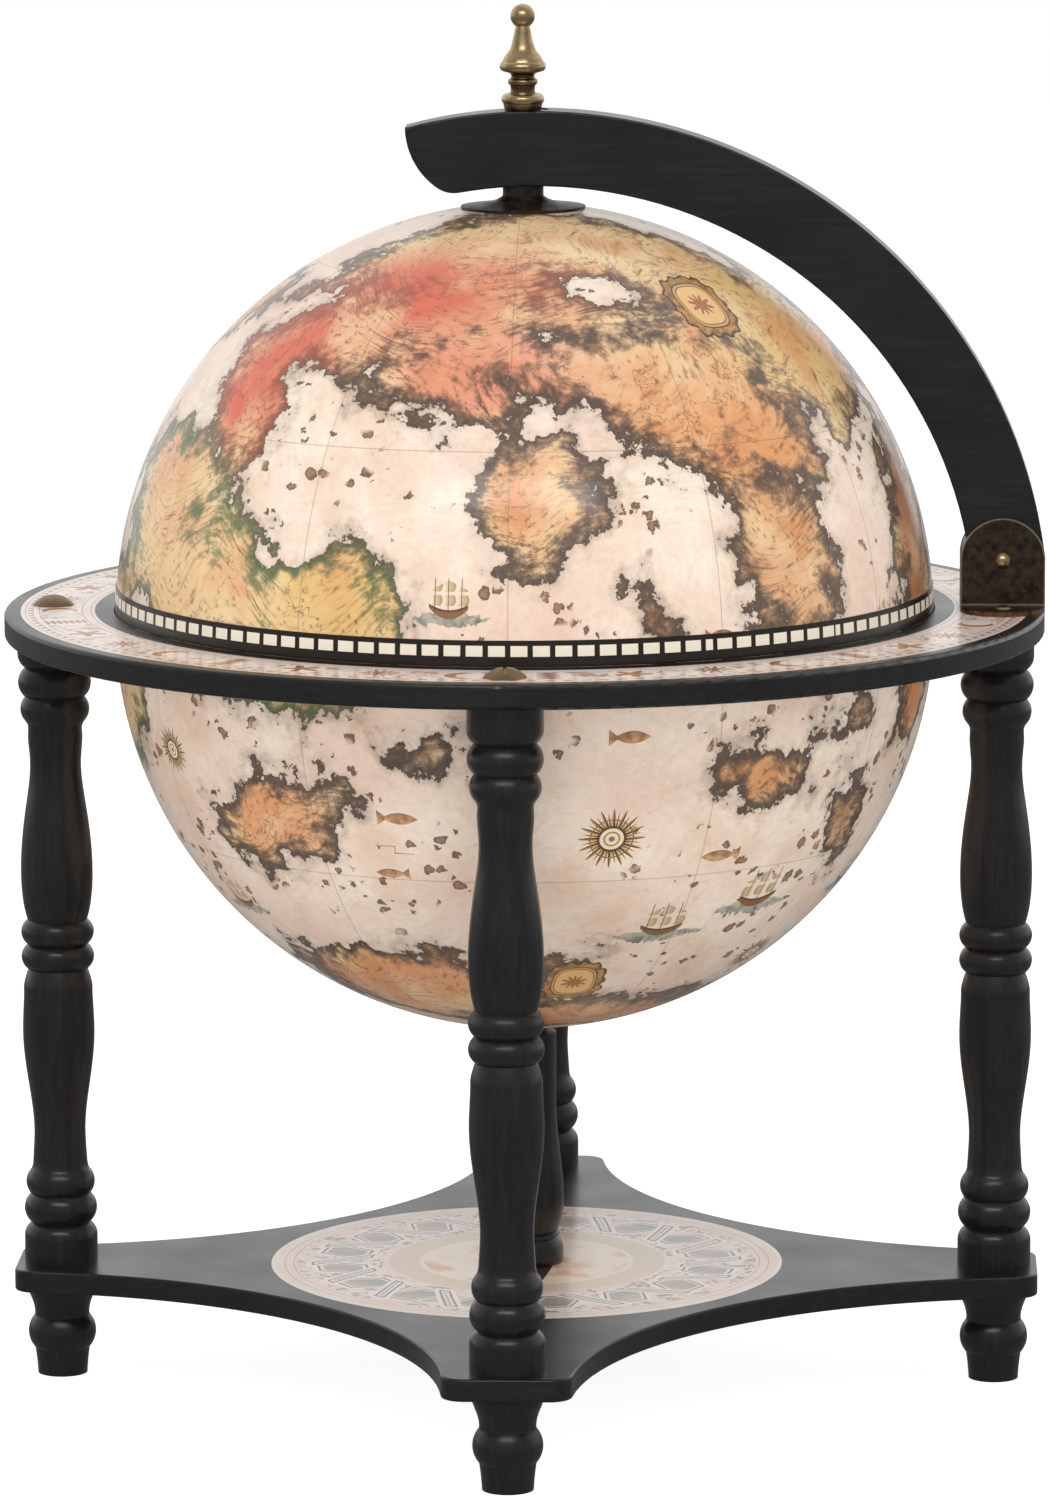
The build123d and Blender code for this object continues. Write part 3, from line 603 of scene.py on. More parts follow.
def drawFishes(add, ground, grit):
    # a scaly spindle with a dark back and a spread tail
    x, y, near = figurePlace(add, "fish")
    along = add("Math.divide", [x, fishForm["halfLength"]])
    taper = add("Math.subtract", [1.0, add("Math.multiply", [along, along])])
    girth = add("Math.multiply", [taper, fishForm["halfHeight"]])
    trunk = closerThan(add, y, girth)
    spread = add("Math.multiply_add", [x, -0.75, -0.4])
    tail = allOf(add, closerThan(add, y, spread), within(add, x, *fishForm["tail"]))
    skin = painted(add, fishForm["skin"],
                   (fishForm["scales"], add("MapRange", [grit, 0.35, 0.62])),
                   (fishForm["back"], add("MapRange", [y, -0.1, 0.25, 0.0, 0.55])))
    return painted(add, ground, (skin, allOf(add, near, add("Math.maximum", [trunk, tail]))))


def drawRoses(add, ground):
    # a wind rose: long and short points, each half dark and half pale, about a ring
    x, y, near = figurePlace(add, "rose")
    radius = hypotenuse(add, x, y)
    angle = add("Math.arctan2", [x, y])
    for count, first, last, root in roseForm["rays"]:
        side = sectors(add, angle, count, 0.5)[1]
        slope = add("MapRange", [radius, first, last, root, 0.03])
        ray = allOf(add, near, closerThan(add, side, slope), within(add, radius, first, last))
        shaded = add("Math.greater_than", [side, 0.0])
        rayTint = painted(add, roseForm["pale"], (roseForm["dark"], shaded))
        ground = painted(add, ground, (rayTint, ray))
    return painted(add, ground, *[(tint, allOf(add, near, within(add, radius, inner, outer)))
                                  for inner, outer, tint in roseForm["rings"]])


def drawPlaques(add, ground, grit):
    # an ornamental panel: a scalloped gilt frame, a dark line, and a tan field with a small sun
    x, y, near = figurePlace(add, "plaque")
    wide = add("Math.multiply", [x, 1.3])
    turn = add("Math.arctan2", [wide, y])
    cubes = [add("Math.power", [add("Math.absolute", [value]), 3.0]) for value in (wide, y)]
    square = add("Math.power", [add("Math.add", cubes), 1 / 3])
    scallop = add("Math.add", [square, lobes(add, turn, 14.0, -0.045, 0.045)])
    edge = add("Math.add", [scallop, add("MapRange", [grit, 0.3, 0.7, -0.05, 0.05])])
    gilt = painted(add, "#c28f4c", ("#7d5a35", add("MapRange", [grit, 0.4, 0.6])))
    bands = [(edge, 1.0, "#463a30"), (edge, 0.92, gilt), (square, 0.74, "#4c3a2a"), (square, 0.7, "#d9a45e"),
             (square, 0.64, "#6d5138"), (square, 0.61, "#e9bd7e")]
    for shape, limit, tint in bands:
        inside = add("Math.less_than", [shape, limit])
        ground = painted(add, ground, (tint, allOf(add, near, inside)))
    rays = lobes(add, turn, 10.0, 0.16, 0.34)
    sun = allOf(add, near, add("Math.less_than", [hypotenuse(add, x, y), rays]))
    return painted(add, ground, ("#a9663a", sun))


def hills(add, place):
    # scattered little hills lit from the left: the shade on their right flanks, and one number for each hill
    cells = add("TexVoronoi", {"Vector": place, "Scale": 1 / chart["hillPitch"]}, out=None)
    offset = add("VectorMath.subtract", [place, cells["Position"]])
    out = add("VectorMath.normalize", [place])
    sideways = add("VectorMath.cross_product", [(0, 0, 1), out])
    east = add("VectorMath.normalize", [sideways])
    north = add("VectorMath.cross_product", [out, east])
    across, up = [add("VectorMath.dot_product", [offset, way], out="Value") for way in (east, north)]
    slope = add("Math.multiply_add", [up, -0.8, chart["hillHeight"] / 2])
    depth = add("Math.subtract", [slope, add("Math.absolute", [across])])
    rightward = add("Math.multiply_add", [up, -0.25, across])
    dark = allOf(add, add("MapRange", [depth, 0.0, 0.5]), add("MapRange", [rightward, -0.2, 0.5]),
                 add("MapRange", [up, -chart["hillHeight"] / 2, 0.2]))
    return dark, add("SeparateColor", [cells["Color"]])


def graticule(add, place, radius):
    # fine lines of longitude and latitude, of one width all over the globe
    x, y, z = add("SeparateXYZ", [place], out=None)
    lon = add("Math.arctan2", [x, add("Math.multiply", [y, -1.0])])
    distance = add("VectorMath.length", [place], out="Value")
    lat = add("Math.arcsine", [add("Math.divide", [z, distance])])
    step = radians(chart["graticule"])
    girth = add("Math.multiply", [add("Math.cosine", [lat]), radius])
    across = add("Math.multiply", [add("Math.pingpong", [lon, step]), girth])
    up = add("Math.multiply", [add("Math.pingpong", [lat, step]), radius])
    nearest = add("Math.minimum", [across, up])
    return add("Math.less_than", [nearest, chart["graticuleWidth"] / 2])


def printMarks(add, place):
    # the print's marks by name, and pen strokes that run and bend with the land
    marks = {}
    for name, (size, detail, rough) in printed.items():
        marks[name] = add("TexNoise", {"Vector": place, "Scale": 1 / size, "Detail": detail,
                                       "Roughness": rough})
    flow = add("TexNoise", {"Vector": place, "Scale": 1 / pen["bendPitch"], "Detail": 1}, out="Color")
    bent = add("VectorMath.multiply_add", [flow, [pen["bend"]] * 3, place])
    brushed = add("VectorMath.multiply", [bent, [1 / size for size in pen["stroke"]]])
    marks["stroke"] = add("TexNoise", {"Vector": brushed, "Scale": 1, "Detail": 5, "Roughness": 0.68})
    return marks


def seaPaper(add, marks, inland):
    # cream and pale peach, hatched with the pen and shaded along the coasts
    shore = add("MapRange", [inland, -chart["seaShade"], 0.0, 0.0, 0.55], interpolation_type="SMOOTHSTEP")
    uneven = add("MapRange", [marks["patch"], 0.4, 0.6, 0.3, 1.0])
    paper = washed(add, chart["sea"], marks, seaWashes)
    return painted(add, paper, ("#8f8378", allOf(add, shore, uneven)))


def landPaper(add, place, marks, inland):
    # the land's own tint with pale and red washes, rough brown ranges, hills, rivers and a shaded shore
    stroke = marks["stroke"]
    paper = washed(add, add("Attribute", out="Color", attribute_name="landTint"), marks, landWashes)
    ranges = allOf(add, add("MapRange", [stroke, 0.56, 0.67, 0.0, 0.75]),
                   add("MapRange", [marks["coast"], 0.49, 0.57]))
    dark, dice = hills(add, place)
    crowd = add("MapRange", [marks["patch"], 0.42, 0.52, 1.0, 0.0])
    hilly = allOf(add, dark, add("Math.greater_than", [crowd, dice]), 0.75)
    river = add("Math.absolute", [add("Math.subtract", [marks["cloud"], 0.5])])
    reach = add("Math.divide", [inland, add("MapRange", [stroke, 0.3, 0.7, 0.45, 1.5])])
    shore = add("MapRange", [reach, 1.5, chart["shoreWidth"], 0.95, 0.0], interpolation_type="SMOOTHSTEP")
    return painted(add, paper, ("#64402c", ranges), ("#5c3b28", hilly),
                   ("#6e5a48", add("MapRange", [river, 0.001, 0.004, 0.7, 0.0])),
                   (add("Attribute", out="Color", attribute_name="shoreTint"), shore))


def drawIsles(add, ground, place, marks, inland):
    # crooked dark-edged islets in groups, off the coasts
    ragged = add("TexNoise", {"Vector": place, "Scale": 1 / isle["edgePitch"], "Detail": 3,
                              "Roughness": 0.6}, out="Color")
    crooked = add("VectorMath.multiply_add", [ragged, [isle["edgeReach"]] * 3, place])
    cells = add("TexVoronoi", {"Vector": crooked, "Scale": 1 / isle["pitch"]}, out=None)
    size = add("MapRange", [add("SeparateColor", [cells["Color"]]), 0, 1, -0.12, 0.5])
    margin = add("Math.subtract", [size, cells["Distance"]])
    cover = allOf(add, add("MapRange", [margin, 0.0, 0.05, 0.0, 0.9]),
                  add("MapRange", [marks["group"], 0.49, 0.52]),
                  add("Math.less_than", [inland, -isle["offShore"]]))
    tint = painted(add, isle["beach"], (isle["inside"], add("MapRange", [margin, 0.1, 0.24])))
    return painted(add, ground, (tint, cover))


def chartMaterial(name, centreZ, radius):
    # printed paper gores under clear varnish: tinted land, inked coasts, and a gloss that catches the light
    material, add = newMaterial(name)
    place = millimetres(add, (0, 0, centreZ))
    marks = printMarks(add, place)
    fleck, spread = marks["fleck"], chart["coastRoughness"]
    wander = add("MapRange", [marks["coast"], 0, 1, -spread, spread])
    inland = add("Math.add", [add("Attribute", out="Fac", attribute_name="inland"), wander])
    coast = add("MapRange", [add("Math.absolute", [inland]), 0.2, 0.8, 0.85, 0.0])
    face = painted(add, seaPaper(add, marks, inland),
                   (landPaper(add, place, marks, inland), add("MapRange", [inland, -0.3, 0.3])),
                   (chart["coast"], coast))
    face = drawIsles(add, face, place, marks, inland)
    face = drawShips(add, face, fleck)
    face = drawFishes(add, face, fleck)
    face = drawRoses(add, face)
    face = drawPlaques(add, face, fleck)
    lines = allOf(add, graticule(add, place, radius / mm), 0.42)
    face = washed(add, painted(add, face, (chart["ink"], lines)), marks, chart["age"])
    finishWith(add, {"Base Color": face, **chart["varnish"]}, fleck, 0.06)
    return material


def liningMaterial():
    # brown painted pressed board inside the shells: matt, a little mottled
    material, add = newMaterial("painted_board_lining")
    place = millimetres(add)
    mottle = add("TexNoise", {"Vector": place, "Scale": 1 / 12, "Detail": 6})
    tint = painted(add, "#3a2418", ("#573726", mottle))
    finishWith(add, {"Base Color": tint, "Roughness": 0.6}, mottle, 0.2, 0.2)
    return material


shell = {
    "wall": 4.0,
    "bore": 3.08,
    "bossRadius": 19.0,
    "washerGap": 0.05,
    "rebate": 0.9,         # depth left for the rim band
    "bandTop": 328.7,      # above the floor
    "steps": 360,
    "outerStep": 1,        # degrees of latitude between rings of the outer face
    "innerStep": 3,
}


def spunPiece(name, profile, steps):
    # a closed outline of (radius, height) in mm, turned about the globe's axis
    form = bmesh.new()
    points = [form.verts.new((r * mm, 0, z * mm)) for r, z in profile]
    edges = [form.edges.new((points[i - 1], points[i])) for i in range(len(points))]
    bmesh.ops.spin(form, geom=points + edges, cent=(0, 0, 0), axis=(0, 0, 1), angle=2 * pi, steps=steps,
                   use_merge=True)
    bmesh.ops.remove_doubles(form, verts=form.verts, dist=1e-6)
    bmesh.ops.recalc_face_normals(form, faces=form.faces)
    mesh = bpy.data.meshes.new(name)
    form.to_mesh(mesh)
    form.free()
    mesh.shade_smooth()
    mesh.set_sharp_from_angle(angle=radians(35))
    piece = bpy.data.objects.new(name, mesh)
    bpy.context.scene.collection.objects.link(piece)
    return piece


def arc(radius, centreZ, fromLat, toLat, step):
    # points along a circle of latitude angles, in degrees
    count = max(2, round(abs(toLat - fromLat) / step))
    lats = [radians(fromLat + (toLat - fromLat) * i / count) for i in range(count + 1)]
    return [(radius * cos(lat), centreZ + radius * sin(lat)) for lat in lats]


def latAtHeight(radius, centreZ, z):
    return degrees(asin((z - centreZ) / radius))


def latAtRadius(radius, r):
    return degrees(acos(r / radius))


def coverShell(piece, outer, inner, centreZ, radius):
    # the map on the outside, the lining everywhere else
    mesh = piece.data
    mesh.materials.append(outer)
    mesh.materials.append(inner)
    for face in mesh.polygons:
        away = (face.center - Vector((0, 0, centreZ))).length
        face.material_index = 0 if away > radius - 0.5 * mm else 1


def shellPiece(name, profile, material, lining, centre, radius):
    piece = spunPiece(name, profile, shell["steps"])
    coverShell(piece, material, lining, centre, radius)
    paintChart(piece, centre, radius)
    return piece


def makeGlobe():
    lining = liningMaterial()
    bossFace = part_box("pole_washer")[1].z / mm + shell["washerGap"]
    low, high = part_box("upper_globe")
    radius = round((high.x - low.x) / 2, 5)
    centre = high.z - radius
    outerR, innerR, centreMm, rim = radius / mm, radius / mm - shell["wall"], centre / mm, low.z / mm
    profile = [(outerR - shell["rebate"], rim), (outerR - shell["rebate"], shell["bandTop"])]
    profile += arc(outerR, centreMm, latAtHeight(outerR, centreMm, shell["bandTop"]),
                   latAtRadius(outerR, shell["bore"]), shell["outerStep"])
    profile += [(shell["bore"], bossFace), (shell["bossRadius"], bossFace)]
    profile += arc(innerR, centreMm, latAtRadius(innerR, shell["bossRadius"]),
                   latAtHeight(innerR, centreMm, rim), shell["innerStep"])
    chartUp = chartMaterial("varnished_map_paper_upper", centre, radius)
    upper = shellPiece("globe_upper_shell", profile, chartUp, lining, centre, radius)
    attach(upper, "upper_half")
    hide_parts("upper_globe")

    low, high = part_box("lower_bowl")
    radius = round((high.x - low.x) / 2, 5)
    centre = low.z + radius
    outerR, innerR, centreMm, rim = radius / mm, radius / mm - shell["wall"], centre / mm, high.z / mm
    profile = arc(outerR, centreMm, -latAtRadius(outerR, shell["bore"]), 0, shell["outerStep"])
    profile += [(outerR, rim), (innerR, rim)]
    profile += arc(innerR, centreMm, 0, -latAtRadius(innerR, shell["bore"]), shell["innerStep"])
    chartDown = chartMaterial("varnished_map_paper_lower", centre, radius)
    lower = shellPiece("globe_lower_shell", profile, chartDown, lining, centre, radius)
    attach(lower, "stand")
    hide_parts("lower_bowl")


makeGlobe()
print("globe covered")


post = {
    # bead and fillet: radius, height
    "foot": [(14.1, 0), (14.8, 0.7), (15.1, 2.2), (15.2, 4.6), (14.9, 7.0), (14.3, 8.8), (13.3, 10.3),
             (12.7, 10.9), (12.7, 11.3), (13.6, 11.6), (13.7, 12.7), (12.8, 13.2)],
    "swell": 15.3,
    "swellHeight": 25.0,
    "shaft": 12.3,
    "shaftHeight": 66.6,
    "shoulder": 96.0,
    "shoulderSlope": 0.5,
    "neck": 9.2,
    "bore": 3.15,
    "hollow": 0.22,    # its end is hollowed to fit the bowl
    "steps": 96,
}


def makePost():
    # the turned post, with a rounded bead and a fillet on its foot
    low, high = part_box("centre_post")
    level, top = low.z / mm, high.z / mm
    outline = [(post["bore"], level)] + [(r, level + z) for r, z in post["foot"]]
    foot, footTop = post["foot"][-1]
    swell, swellTop, shaft, shoulder = post["swell"], post["swellHeight"], post["shaft"], post["shoulder"]
    for share in [step / 12 for step in range(1, 13)]:
        outline.append((foot + (swell - foot) * sin(share * pi / 2),
                        level + footTop + (swellTop - footTop) * share))
    for share in [step / 24 for step in range(1, 25)]:
        outline.append((swell + (shaft - swell) * (1 - cos(share * pi)) / 2,
                        level + swellTop + (post["shaftHeight"] - swellTop) * share))
    outline += [(shaft, level + shoulder), (post["neck"], level + shoulder + post["shoulderSlope"]),
                (post["neck"], top), (post["bore"], top - post["hollow"])]
    turned = spunPiece("turned_centre_post", outline, post["steps"])
    turned.data.materials.append(uprightLacquer)
    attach(turned, "stand")
    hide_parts("centre_post")


makePost()
print("centre post turned")


brass = {
    "tint": "#cdb488",
    "dull": "#8f7750",
    "groove": "#3d2a1f",
    "roughness": (0.24, 0.4),    # bright and dull
}


def antiqueBrass():
    # cast brass, blackened and rubbed back: warm and bright on the swells, brown in the grooves
    material, add = newMaterial("rubbed_antique_brass")
    place = millimetres(add)
    low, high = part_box("finial")
    seat, discLevel = low.z / mm, (low.z + 0.4 * (high.z - low.z)) / mm
    radius = polar(add, place)[0]
    height = add("SeparateXYZ", [place], out="Z")
    narrow = add("MapRange", [radius, 4.7, 7.2, 1.0, 0.0])
    below = add("MapRange", [height, discLevel - 2, discLevel + 1, 1.0, 0.0])
    foot = add("MapRange", [height, seat + 0.5, seat + 3.5, 1.0, 0.0])
    groove = add("Math.maximum", [allOf(add, narrow, below), foot])
    groove = allOf(add, groove, add("Math.greater_than", [height, seat - 2]), 0.85)
    cloud = add("TexNoise", {"Vector": place, "Scale": 0.35, "Detail": 5, "Roughness": 0.62})
    fine = add("TexNoise", {"Vector": place, "Scale": 2.4, "Detail": 3})
    dull = add("MapRange", [cloud, 0.42, 0.66, 0.0, 0.6])
    tint = painted(add, brass["tint"], (brass["dull"], dull), (brass["groove"], groove))
    rough = add("MapRange", [cloud, 0.3, 0.7, *brass["roughness"]])
    finishWith(add, {"Base Color": tint, "Metallic": 1.0, "Roughness": rough}, fine, 0.15)
    return material


bronze = {
    "tint": "#2f2722",
    "mottle": "#54473d",
    "olive": "#4f4a35",
    "copper": "#8a5f43",
    # pale wear along the edges, and also the painted highlight on the bend
    "rubbedAndHighlight": "#b5a595",
    "roughness": (0.34, 0.52),    # bright and dull
}


def darkBronze():
    # pressed steel plate with a brown bronze finish: mottled, worn bright along its edges, and a painted
    # highlight along its bend
    material, add = newMaterial("mottled_dark_bronze")
    place = millimetres(add)
    x, y, z = add("SeparateXYZ", [place], out=None)
    low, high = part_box("hinge_bracket_front")
    archRadius = (high.x - low.x) / 2 / mm
    across = add("Math.subtract", [x, (low.x + high.x) / 2 / mm])
    up = add("Math.subtract", [z, high.z / mm - archRadius])
    raised = add("Math.maximum", [up, 0.0])
    arch = hypotenuse(add, across, raised)
    edge = add("MapRange", [arch, archRadius - 0.75, archRadius - 0.2])
    upright = add("Math.greater_than", [z, low.z / mm + 1.0])
    # painted highlight: a pale line along the bend near the foot, standing in for the light the bend catches
    foldHighlight = within(add, z, low.z / mm + 2.3, low.z / mm + 3.0)
    wearAndFoldHighlight = add("Math.maximum", [allOf(add, edge, upright), foldHighlight])
    hinge = add("Math.greater_than", [x, low.x / mm - 1])
    mottle = add("TexNoise", {"Vector": place, "Scale": 0.3, "Detail": 6, "Roughness": 0.62})
    cloud = add("TexNoise", {"Vector": place, "Scale": 0.09, "Detail": 3})
    footSide = add("Math.less_than", [z, low.z / mm + 1.9])
    copper = allOf(add, footSide, hinge, add("MapRange", [mottle, 0.42, 0.55, 0.2, 0.9]))
    # edge wear and the painted highlight on the bend, in one pale tint
    rubbedAndHighlight = allOf(add, wearAndFoldHighlight, hinge, 0.75)
    tint = painted(add, bronze["tint"], (bronze["mottle"], add("MapRange", [mottle, 0.36, 0.66])),
                   (bronze["olive"], add("MapRange", [cloud, 0.5, 0.68, 0.0, 0.5])),
                   (bronze["copper"], copper), (bronze["rubbedAndHighlight"], rubbedAndHighlight))
    rough = add("MapRange", [mottle, 0.3, 0.7, *bronze["roughness"]])
    finishWith(add, {"Base Color": tint, "Metallic": 0.85, "Roughness": rough}, mottle, 0.2)
    return material


fittings = {
    # name: (tint, roughness, how far fine noise moves it, metallic, pieces)
    # browned brass: olive brown, duller than the finial
    "browned_brass": ("#8a755a", 0.36, 0.06, 1.0, ("ring_screws",)),
    # zinc plated steel: cool grey, half bright
    "zinc_plated_steel": ("#b4b6b8", 0.32, 0.06, 1.0,
                          ("post_screw", "leg_studs", "hinge_leg_screw", "bowl_screw", "bowl_washer",
                           "pole_stud", "pole_washer", "pole_nut", "rack_screws", "cleat_screws")),
    # moulded black nylon: faint sheen
    "black_nylon": ("#161616", 0.45, 0.04, 0.0, ("hinge_washers", "arm_washer")),
    # rubber: dead matt
    "black_rubber": ("#1b1b1a", 0.8, 0.05, 0.0, ("stop_pad",)),
}


def plainMaterial(name, tint, roughness, grit, metallic):
    material, add = newMaterial(name)
    fine = add("TexNoise", {"Vector": millimetres(add), "Scale": 1.3, "Detail": 4})
    shade = add("MapRange", [fine, 0.3, 0.7, roughness - grit, roughness + grit])
    finishWith(add, {"Base Color": tint, "Metallic": metallic, "Roughness": shade}, fine)
    return material


dress(antiqueBrass(), "finial", "hinge_pin")
dress(darkBronze(), "hinge_bracket_front", "hinge_bracket_back", "pole_collar", "bracket_screws")
for name, (*finish, pieces) in fittings.items():
    dress(plainMaterial(name, *finish), *pieces)
print("metal done")


stain = {
    "light": "#7a4629",
    "dark": "#4a2616",
    "pore": "#2c150c",
    "ringPitch": 7.5,      # mm between growth rings
}


def stainedWood(name, along):
    # mahogany-stained board under thin satin varnish: drifting growth lines with short dark pores
    material, add = newMaterial(name)
    place = millimetres(add)
    stretch = [1 / stain["ringPitch"]] * 3
    stretch["XYZ".index(along)] = 1 / (stain["ringPitch"] * 14)
    lines = add("VectorMath.multiply", [place, stretch])
    grain = add("TexNoise", {"Vector": lines, "Scale": 1, "Detail": 5, "Distortion": 0.7})
    thin = add("VectorMath.scale", {0: lines, "Scale": 6})
    pores = add("TexNoise", {"Vector": thin, "Scale": 1, "Detail": 3})
    figure = add("MapRange", [grain, 0.36, 0.64])
    tint = painted(add, stain["dark"], (stain["light"], figure),
                   (stain["pore"], add("MapRange", [pores, 0.56, 0.68, 0.0, 0.6])))
    finishWith(add, {"Base Color": tint, "Roughness": 0.38}, pores, 0.15)
    return material


dress(stainedWood("stained_board", "X"), "rack_board", "rack_floor", "rack_cleats")
dress(stainedWood("stained_turning", "Z"), "rack_spacers", "bottle_seat")
print("stained wood done")


dashes = {
    "count": 120,
    "cream": 0.754,           # share of each step
    "low": 322.5,             # mm above the floor
    "high": 326.7,
    "seams": (28.6, 49.5),    # degrees; a short length of strip is let in between
    "slip": 0.42,             # share of a step
    "seamWidth": 0.006,       # radians
    "ground": "#0f0b09",
    "groundWorn": "#221a15",
    "paper": "#f1e5cc",
    "paperWorn": "#faf1df",
}


def rimBandMaterial():
    # printed paper strip, varnished: cream dashes on brown-black
    material, add = newMaterial("dashed_paper_strip")
    place = millimetres(add)
    angle = polar(add, place)[1]
    height = add("SeparateXYZ", [place], out="Z")
    fromFront = add("Math.add", [angle, pi / 2])
    first, last = [radians(at) for at in dashes["seams"]]
    letIn = within(add, fromFront, first, last)
    steps = add("Math.multiply_add", [angle, dashes["count"] / (2 * pi), dashes["count"]])
    slipped = add("Math.multiply_add", [letIn, dashes["slip"], steps])
    part = add("Math.fract", [slipped])
    gap = (1 - dashes["cream"]) / 2
    cream = allOf(add, within(add, part, gap, 1 - gap), within(add, height, dashes["low"], dashes["high"]))
    soft = add("TexNoise", {"Vector": place, "Scale": 0.6, "Detail": 4})
    pale = painted(add, dashes["paper"], (dashes["paperWorn"], soft))
    half = dashes["seamWidth"] / 2
    seams = add("Math.maximum", [within(add, fromFront, at - half, at + half) for at in (first, last)])
    tint = painted(add, dashes["ground"], (dashes["groundWorn"], soft), (pale, cream),
                   (dashes["ground"], seams))
    finishWith(add, {"Base Color": tint, "Roughness": 0.34, "Coat Weight": 0.3})
    return material


dress(rimBandMaterial(), "rim_band")
print("rim band done")


def ringLayers(add, radius, rings):
    # thin and broad rings as layers of paint: inner radius, outer radius, tint
    return [(tint, within(add, radius, inner, outer)) for inner, outer, tint in rings]


def emblems(add, x, y, kind):
    # four small signs in turn: a star, a sun, a crescent moon and a sprig; x and y in half widths
    reach = hypotenuse(add, x, y)
    turn = add("Math.arctan2", [x, y])
    star = add("Math.less_than", [reach, lobes(add, turn, 5.0, 0.34, 0.95)])
    rays = allOf(add, add("Math.less_than", [reach, lobes(add, turn, 12.0, 0.45, 1.0)]),
                 add("Math.greater_than", [reach, 0.42]))
    sun = add("Math.maximum", [rays, add("Math.less_than", [reach, 0.34])])
    bite = hypotenuse(add, add("Math.subtract", [x, 0.36]), y)
    moon = allOf(add, add("Math.less_than", [reach, 0.86]), add("Math.greater_than", [bite, 0.68]))
    height = add("Math.multiply_add", [y, 3.4, 0.4])
    leaf = add("Math.absolute", [add("Math.sine", [add("Math.multiply", [height, pi])])])
    blade = add("Math.multiply", [leaf, 0.55])
    sprig = allOf(add, closerThan(add, x, blade), within(add, y, -0.95, 0.95))
    shape = 0.0
    for index, sign in enumerate((star, sun, moon, sprig)):
        chosen = add("Math.compare", [kind, index, 0.5])
        shape = add("Math.multiply_add", [chosen, sign, shape])
    return shape


def flourishes(add, place, size):
    # tangled leafy flourishes between the signs
    curl = add("TexNoise", {"Vector": place, "Scale": 1 / size, "Detail": 4, "Roughness": 0.58,
                            "Distortion": 1.6})
    return add("MapRange", [curl, 0.54, 0.57])


ringPaper = {
    # sizes in mm
    "width": 29.8,
    "margins": (5.5, 7.5),     # inside and outside the strip of signs
    "leaf": 7.5,
    "signs": 36,
    "signHalf": 8.5,
    "ticks": 180,
    "tickEnds": (5.0, 3.0),    # in from the outer edge
    "lines": (1.2, 4.8, 22.0, 24.6, 27.6),    # out from the inner edge
    "lineWidth": 0.4,
    "paper": ("#f8e9e0", "#f0d8cc"),
    "leaves": ("#b0744e", "#8b8680"),
    "signField": "#f8ebe1",
    "signInk": ("#94543a", "#c07a45"),
    "tickInk": "#a98a78",
    "lineInk": "#a2826f",
}


def ringPrintMaterial():
    # coloured print under varnish: a row of signs among leafy flourishes, brown and grey on pale pink
    material, add = newMaterial("printed_ring_paper")
    place = millimetres(add)
    radius, angle = polar(add, place)
    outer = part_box("ring_print")[1].x / mm
    inner = outer - ringPaper["width"]
    middle = (inner + outer) / 2
    cloud = add("TexNoise", {"Vector": place, "Scale": 1 / 30, "Detail": 4})
    strip = within(add, radius, inner + ringPaper["margins"][0], outer - ringPaper["margins"][1])

    leaf = ringPaper["leaf"]
    along = add("Math.multiply", [angle, 190 / leaf])
    out = add("Math.multiply", [radius, 1 / leaf])
    spot = add("CombineXYZ", [add("Math.cosine", [along]), out, along])
    mood = add("TexNoise", {"Vector": spot, "Scale": 0.5})
    brown, grey = ringPaper["leaves"]
    leafTint = painted(add, brown, (grey, add("MapRange", [mood, 0.4, 0.6])))
    leaves = allOf(add, strip, flourishes(add, place, leaf), 0.8)

    half = ringPaper["signHalf"]
    turns, across = sectors(add, angle, ringPaper["signs"])
    kind = add("Math.modulo", [add("Math.floor", [turns]), 4.0])
    x = add("Math.multiply", [across, 2 * pi * middle / ringPaper["signs"] / half])
    y = add("Math.divide", [add("Math.subtract", [radius, middle - 1]), half])
    panel = allOf(add, strip, add("Math.less_than", [hypotenuse(add, x, y), 1.15]))
    sign = allOf(add, strip, emblems(add, x, y, kind))
    red, ochre = ringPaper["signInk"]
    warm = painted(add, red, (ochre, add("MapRange", [cloud, 0.42, 0.58])))

    tick = sectors(add, angle, ringPaper["ticks"])[1]
    start, end = [outer - inset for inset in ringPaper["tickEnds"]]
    dark = allOf(add, closerThan(add, tick, 0.25), within(add, radius, start, end))
    rings = [(inner + at, inner + at + ringPaper["lineWidth"], ringPaper["lineInk"])
             for at in ringPaper["lines"]]
    paper, shade = ringPaper["paper"]
    ground = painted(add, paper, (shade, add("MapRange", [cloud, 0.35, 0.65])), (leafTint, leaves),
                     (ringPaper["signField"], panel), (warm, sign), (ringPaper["tickInk"], dark),
                     *ringLayers(add, radius, rings))
    finishWith(add, {"Base Color": ground, "Roughness": 0.3, "Coat Weight": 0.25})
    return material


discPaper = {
    # panels round the disc: how many, shift in steps, lean, half width and half height in mm
    "panels": ((16, 0.0, 0.5, 11.5, 12.5), (16, 0.5, -0.6, 5.0, 14.5)),
    "frames": ((0, "#fff8f2"), (2.2, "#584d4e"), (3.2, "#f7ebe3")),    # mm in from a panel's edge
    "field": 4.6,
    "leaf": 7,    # mm
    "paper": ("#fff0e6", "#f8dccd"),
    "leafInk": "#7f6a62",
    "fieldInk": ("#969c93", "#cdaea2"),
    "peach": "#ee965f",
    "needleInk": ("#cfa256", "#43362b"),
    "needleHalf": 13,    # mm, half its width in the middle
    # the rest are shares of the radius
    "panelMiddle": 0.725,
    "band": (0.56, 0.9),
    "rings": ((0.985, 1.0, "#fdf3ea"), (0.945, 0.949, "#b7a091"), (0.91, 0.914, "#b7a091"),
              (0.0, 0.54, "#e9d4b8"), (0.0, 0.42, "#ffeed8")),
    "centre": 0.4,
    "needle": 0.88,    # how far its points reach
}


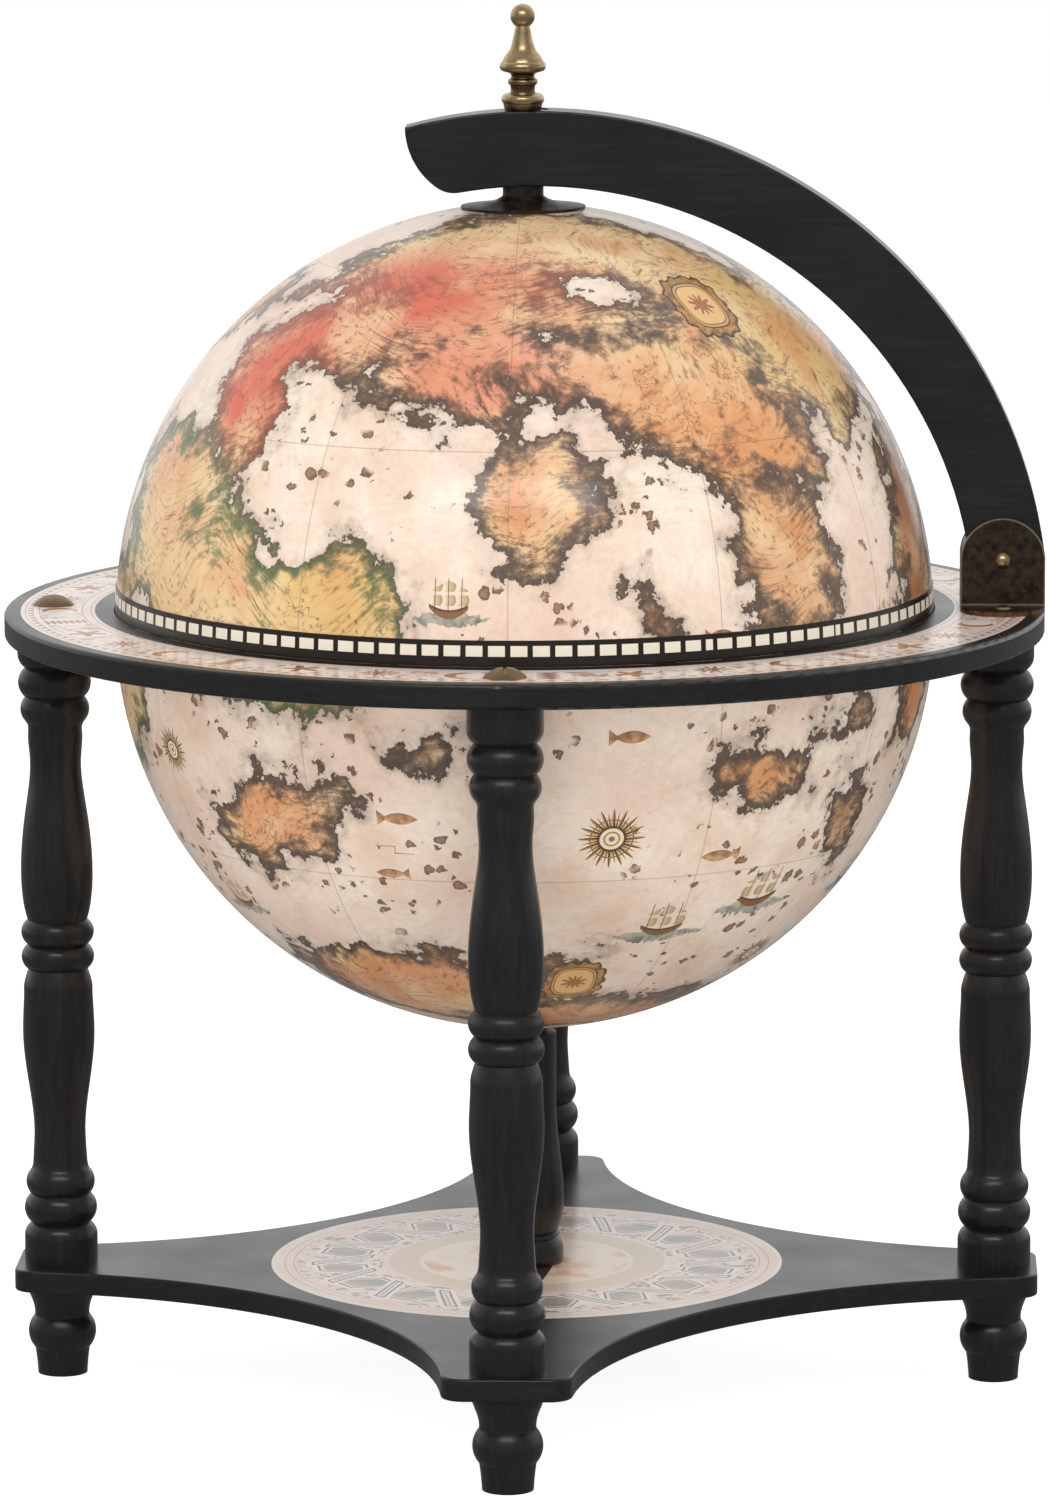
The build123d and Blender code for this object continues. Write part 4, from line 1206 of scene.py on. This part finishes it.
def basePrintMaterial():
    # the same print in softer colours: slanted grey panels in pale frames, a beige ring, a compass needle
    material, add = newMaterial("printed_disc_paper")
    place = millimetres(add)
    radius, angle = polar(add, place)
    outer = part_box("base_print")[1].x / mm
    cloud = add("TexNoise", {"Vector": place, "Scale": 1 / 22, "Detail": 4})
    band = within(add, radius, *[share * outer for share in discPaper["band"]])
    leaves = allOf(add, band, flourishes(add, place, discPaper["leaf"]), 0.8)
    paper, shade = discPaper["paper"]
    ground = painted(add, paper, (shade, add("MapRange", [cloud, 0.35, 0.65])),
                     (discPaper["leafInk"], leaves))

    grey, pink = discPaper["fieldInk"]
    field = painted(add, grey, (pink, add("MapRange", [cloud, 0.42, 0.58])))
    up = add("Math.subtract", [radius, discPaper["panelMiddle"] * outer])
    for count, lift, lean, wide, tall in discPaper["panels"]:
        across = sectors(add, angle, count, lift)[1]
        along = add("Math.multiply", [add("Math.multiply", [across, radius]), 2 * pi / count])
        side = add("Math.absolute", [add("Math.multiply_add", [up, lean, along])])
        reach = add("Math.add", [add("Math.absolute", [up]), wide - tall])
        edge = add("Math.maximum", [side, reach])
        for inset, tint in (*discPaper["frames"], (discPaper["field"], field)):
            ground = painted(add, ground, (tint, add("Math.less_than", [edge, wide - inset])))

    rings = [(low * outer, high * outer, tint) for low, high, tint in discPaper["rings"]]
    centre = add("Math.less_than", [radius, discPaper["centre"] * outer])
    peach = allOf(add, centre, add("MapRange", [cloud, 0.5, 0.62, 0.0, 0.8]))
    side = add("Math.multiply", [add("Math.cosine", [angle]), radius])
    slope = add("MapRange", [radius, 0.0, discPaper["needle"] * outer, discPaper["needleHalf"], 0.0])
    needle = closerThan(add, side, slope)
    pale, dark = discPaper["needleInk"]
    needleTint = painted(add, pale, (dark, add("Math.greater_than", [side, 0.0])))
    ground = painted(add, ground, *ringLayers(add, radius, rings), (discPaper["peach"], peach),
                     (needleTint, needle))
    finishWith(add, {"Base Color": ground, "Roughness": 0.34, "Coat Weight": 0.4, "Coat Roughness": 0.1})
    return material


dress(ringPrintMaterial(), "ring_print")
dress(basePrintMaterial(), "base_print")
print("printed papers done")
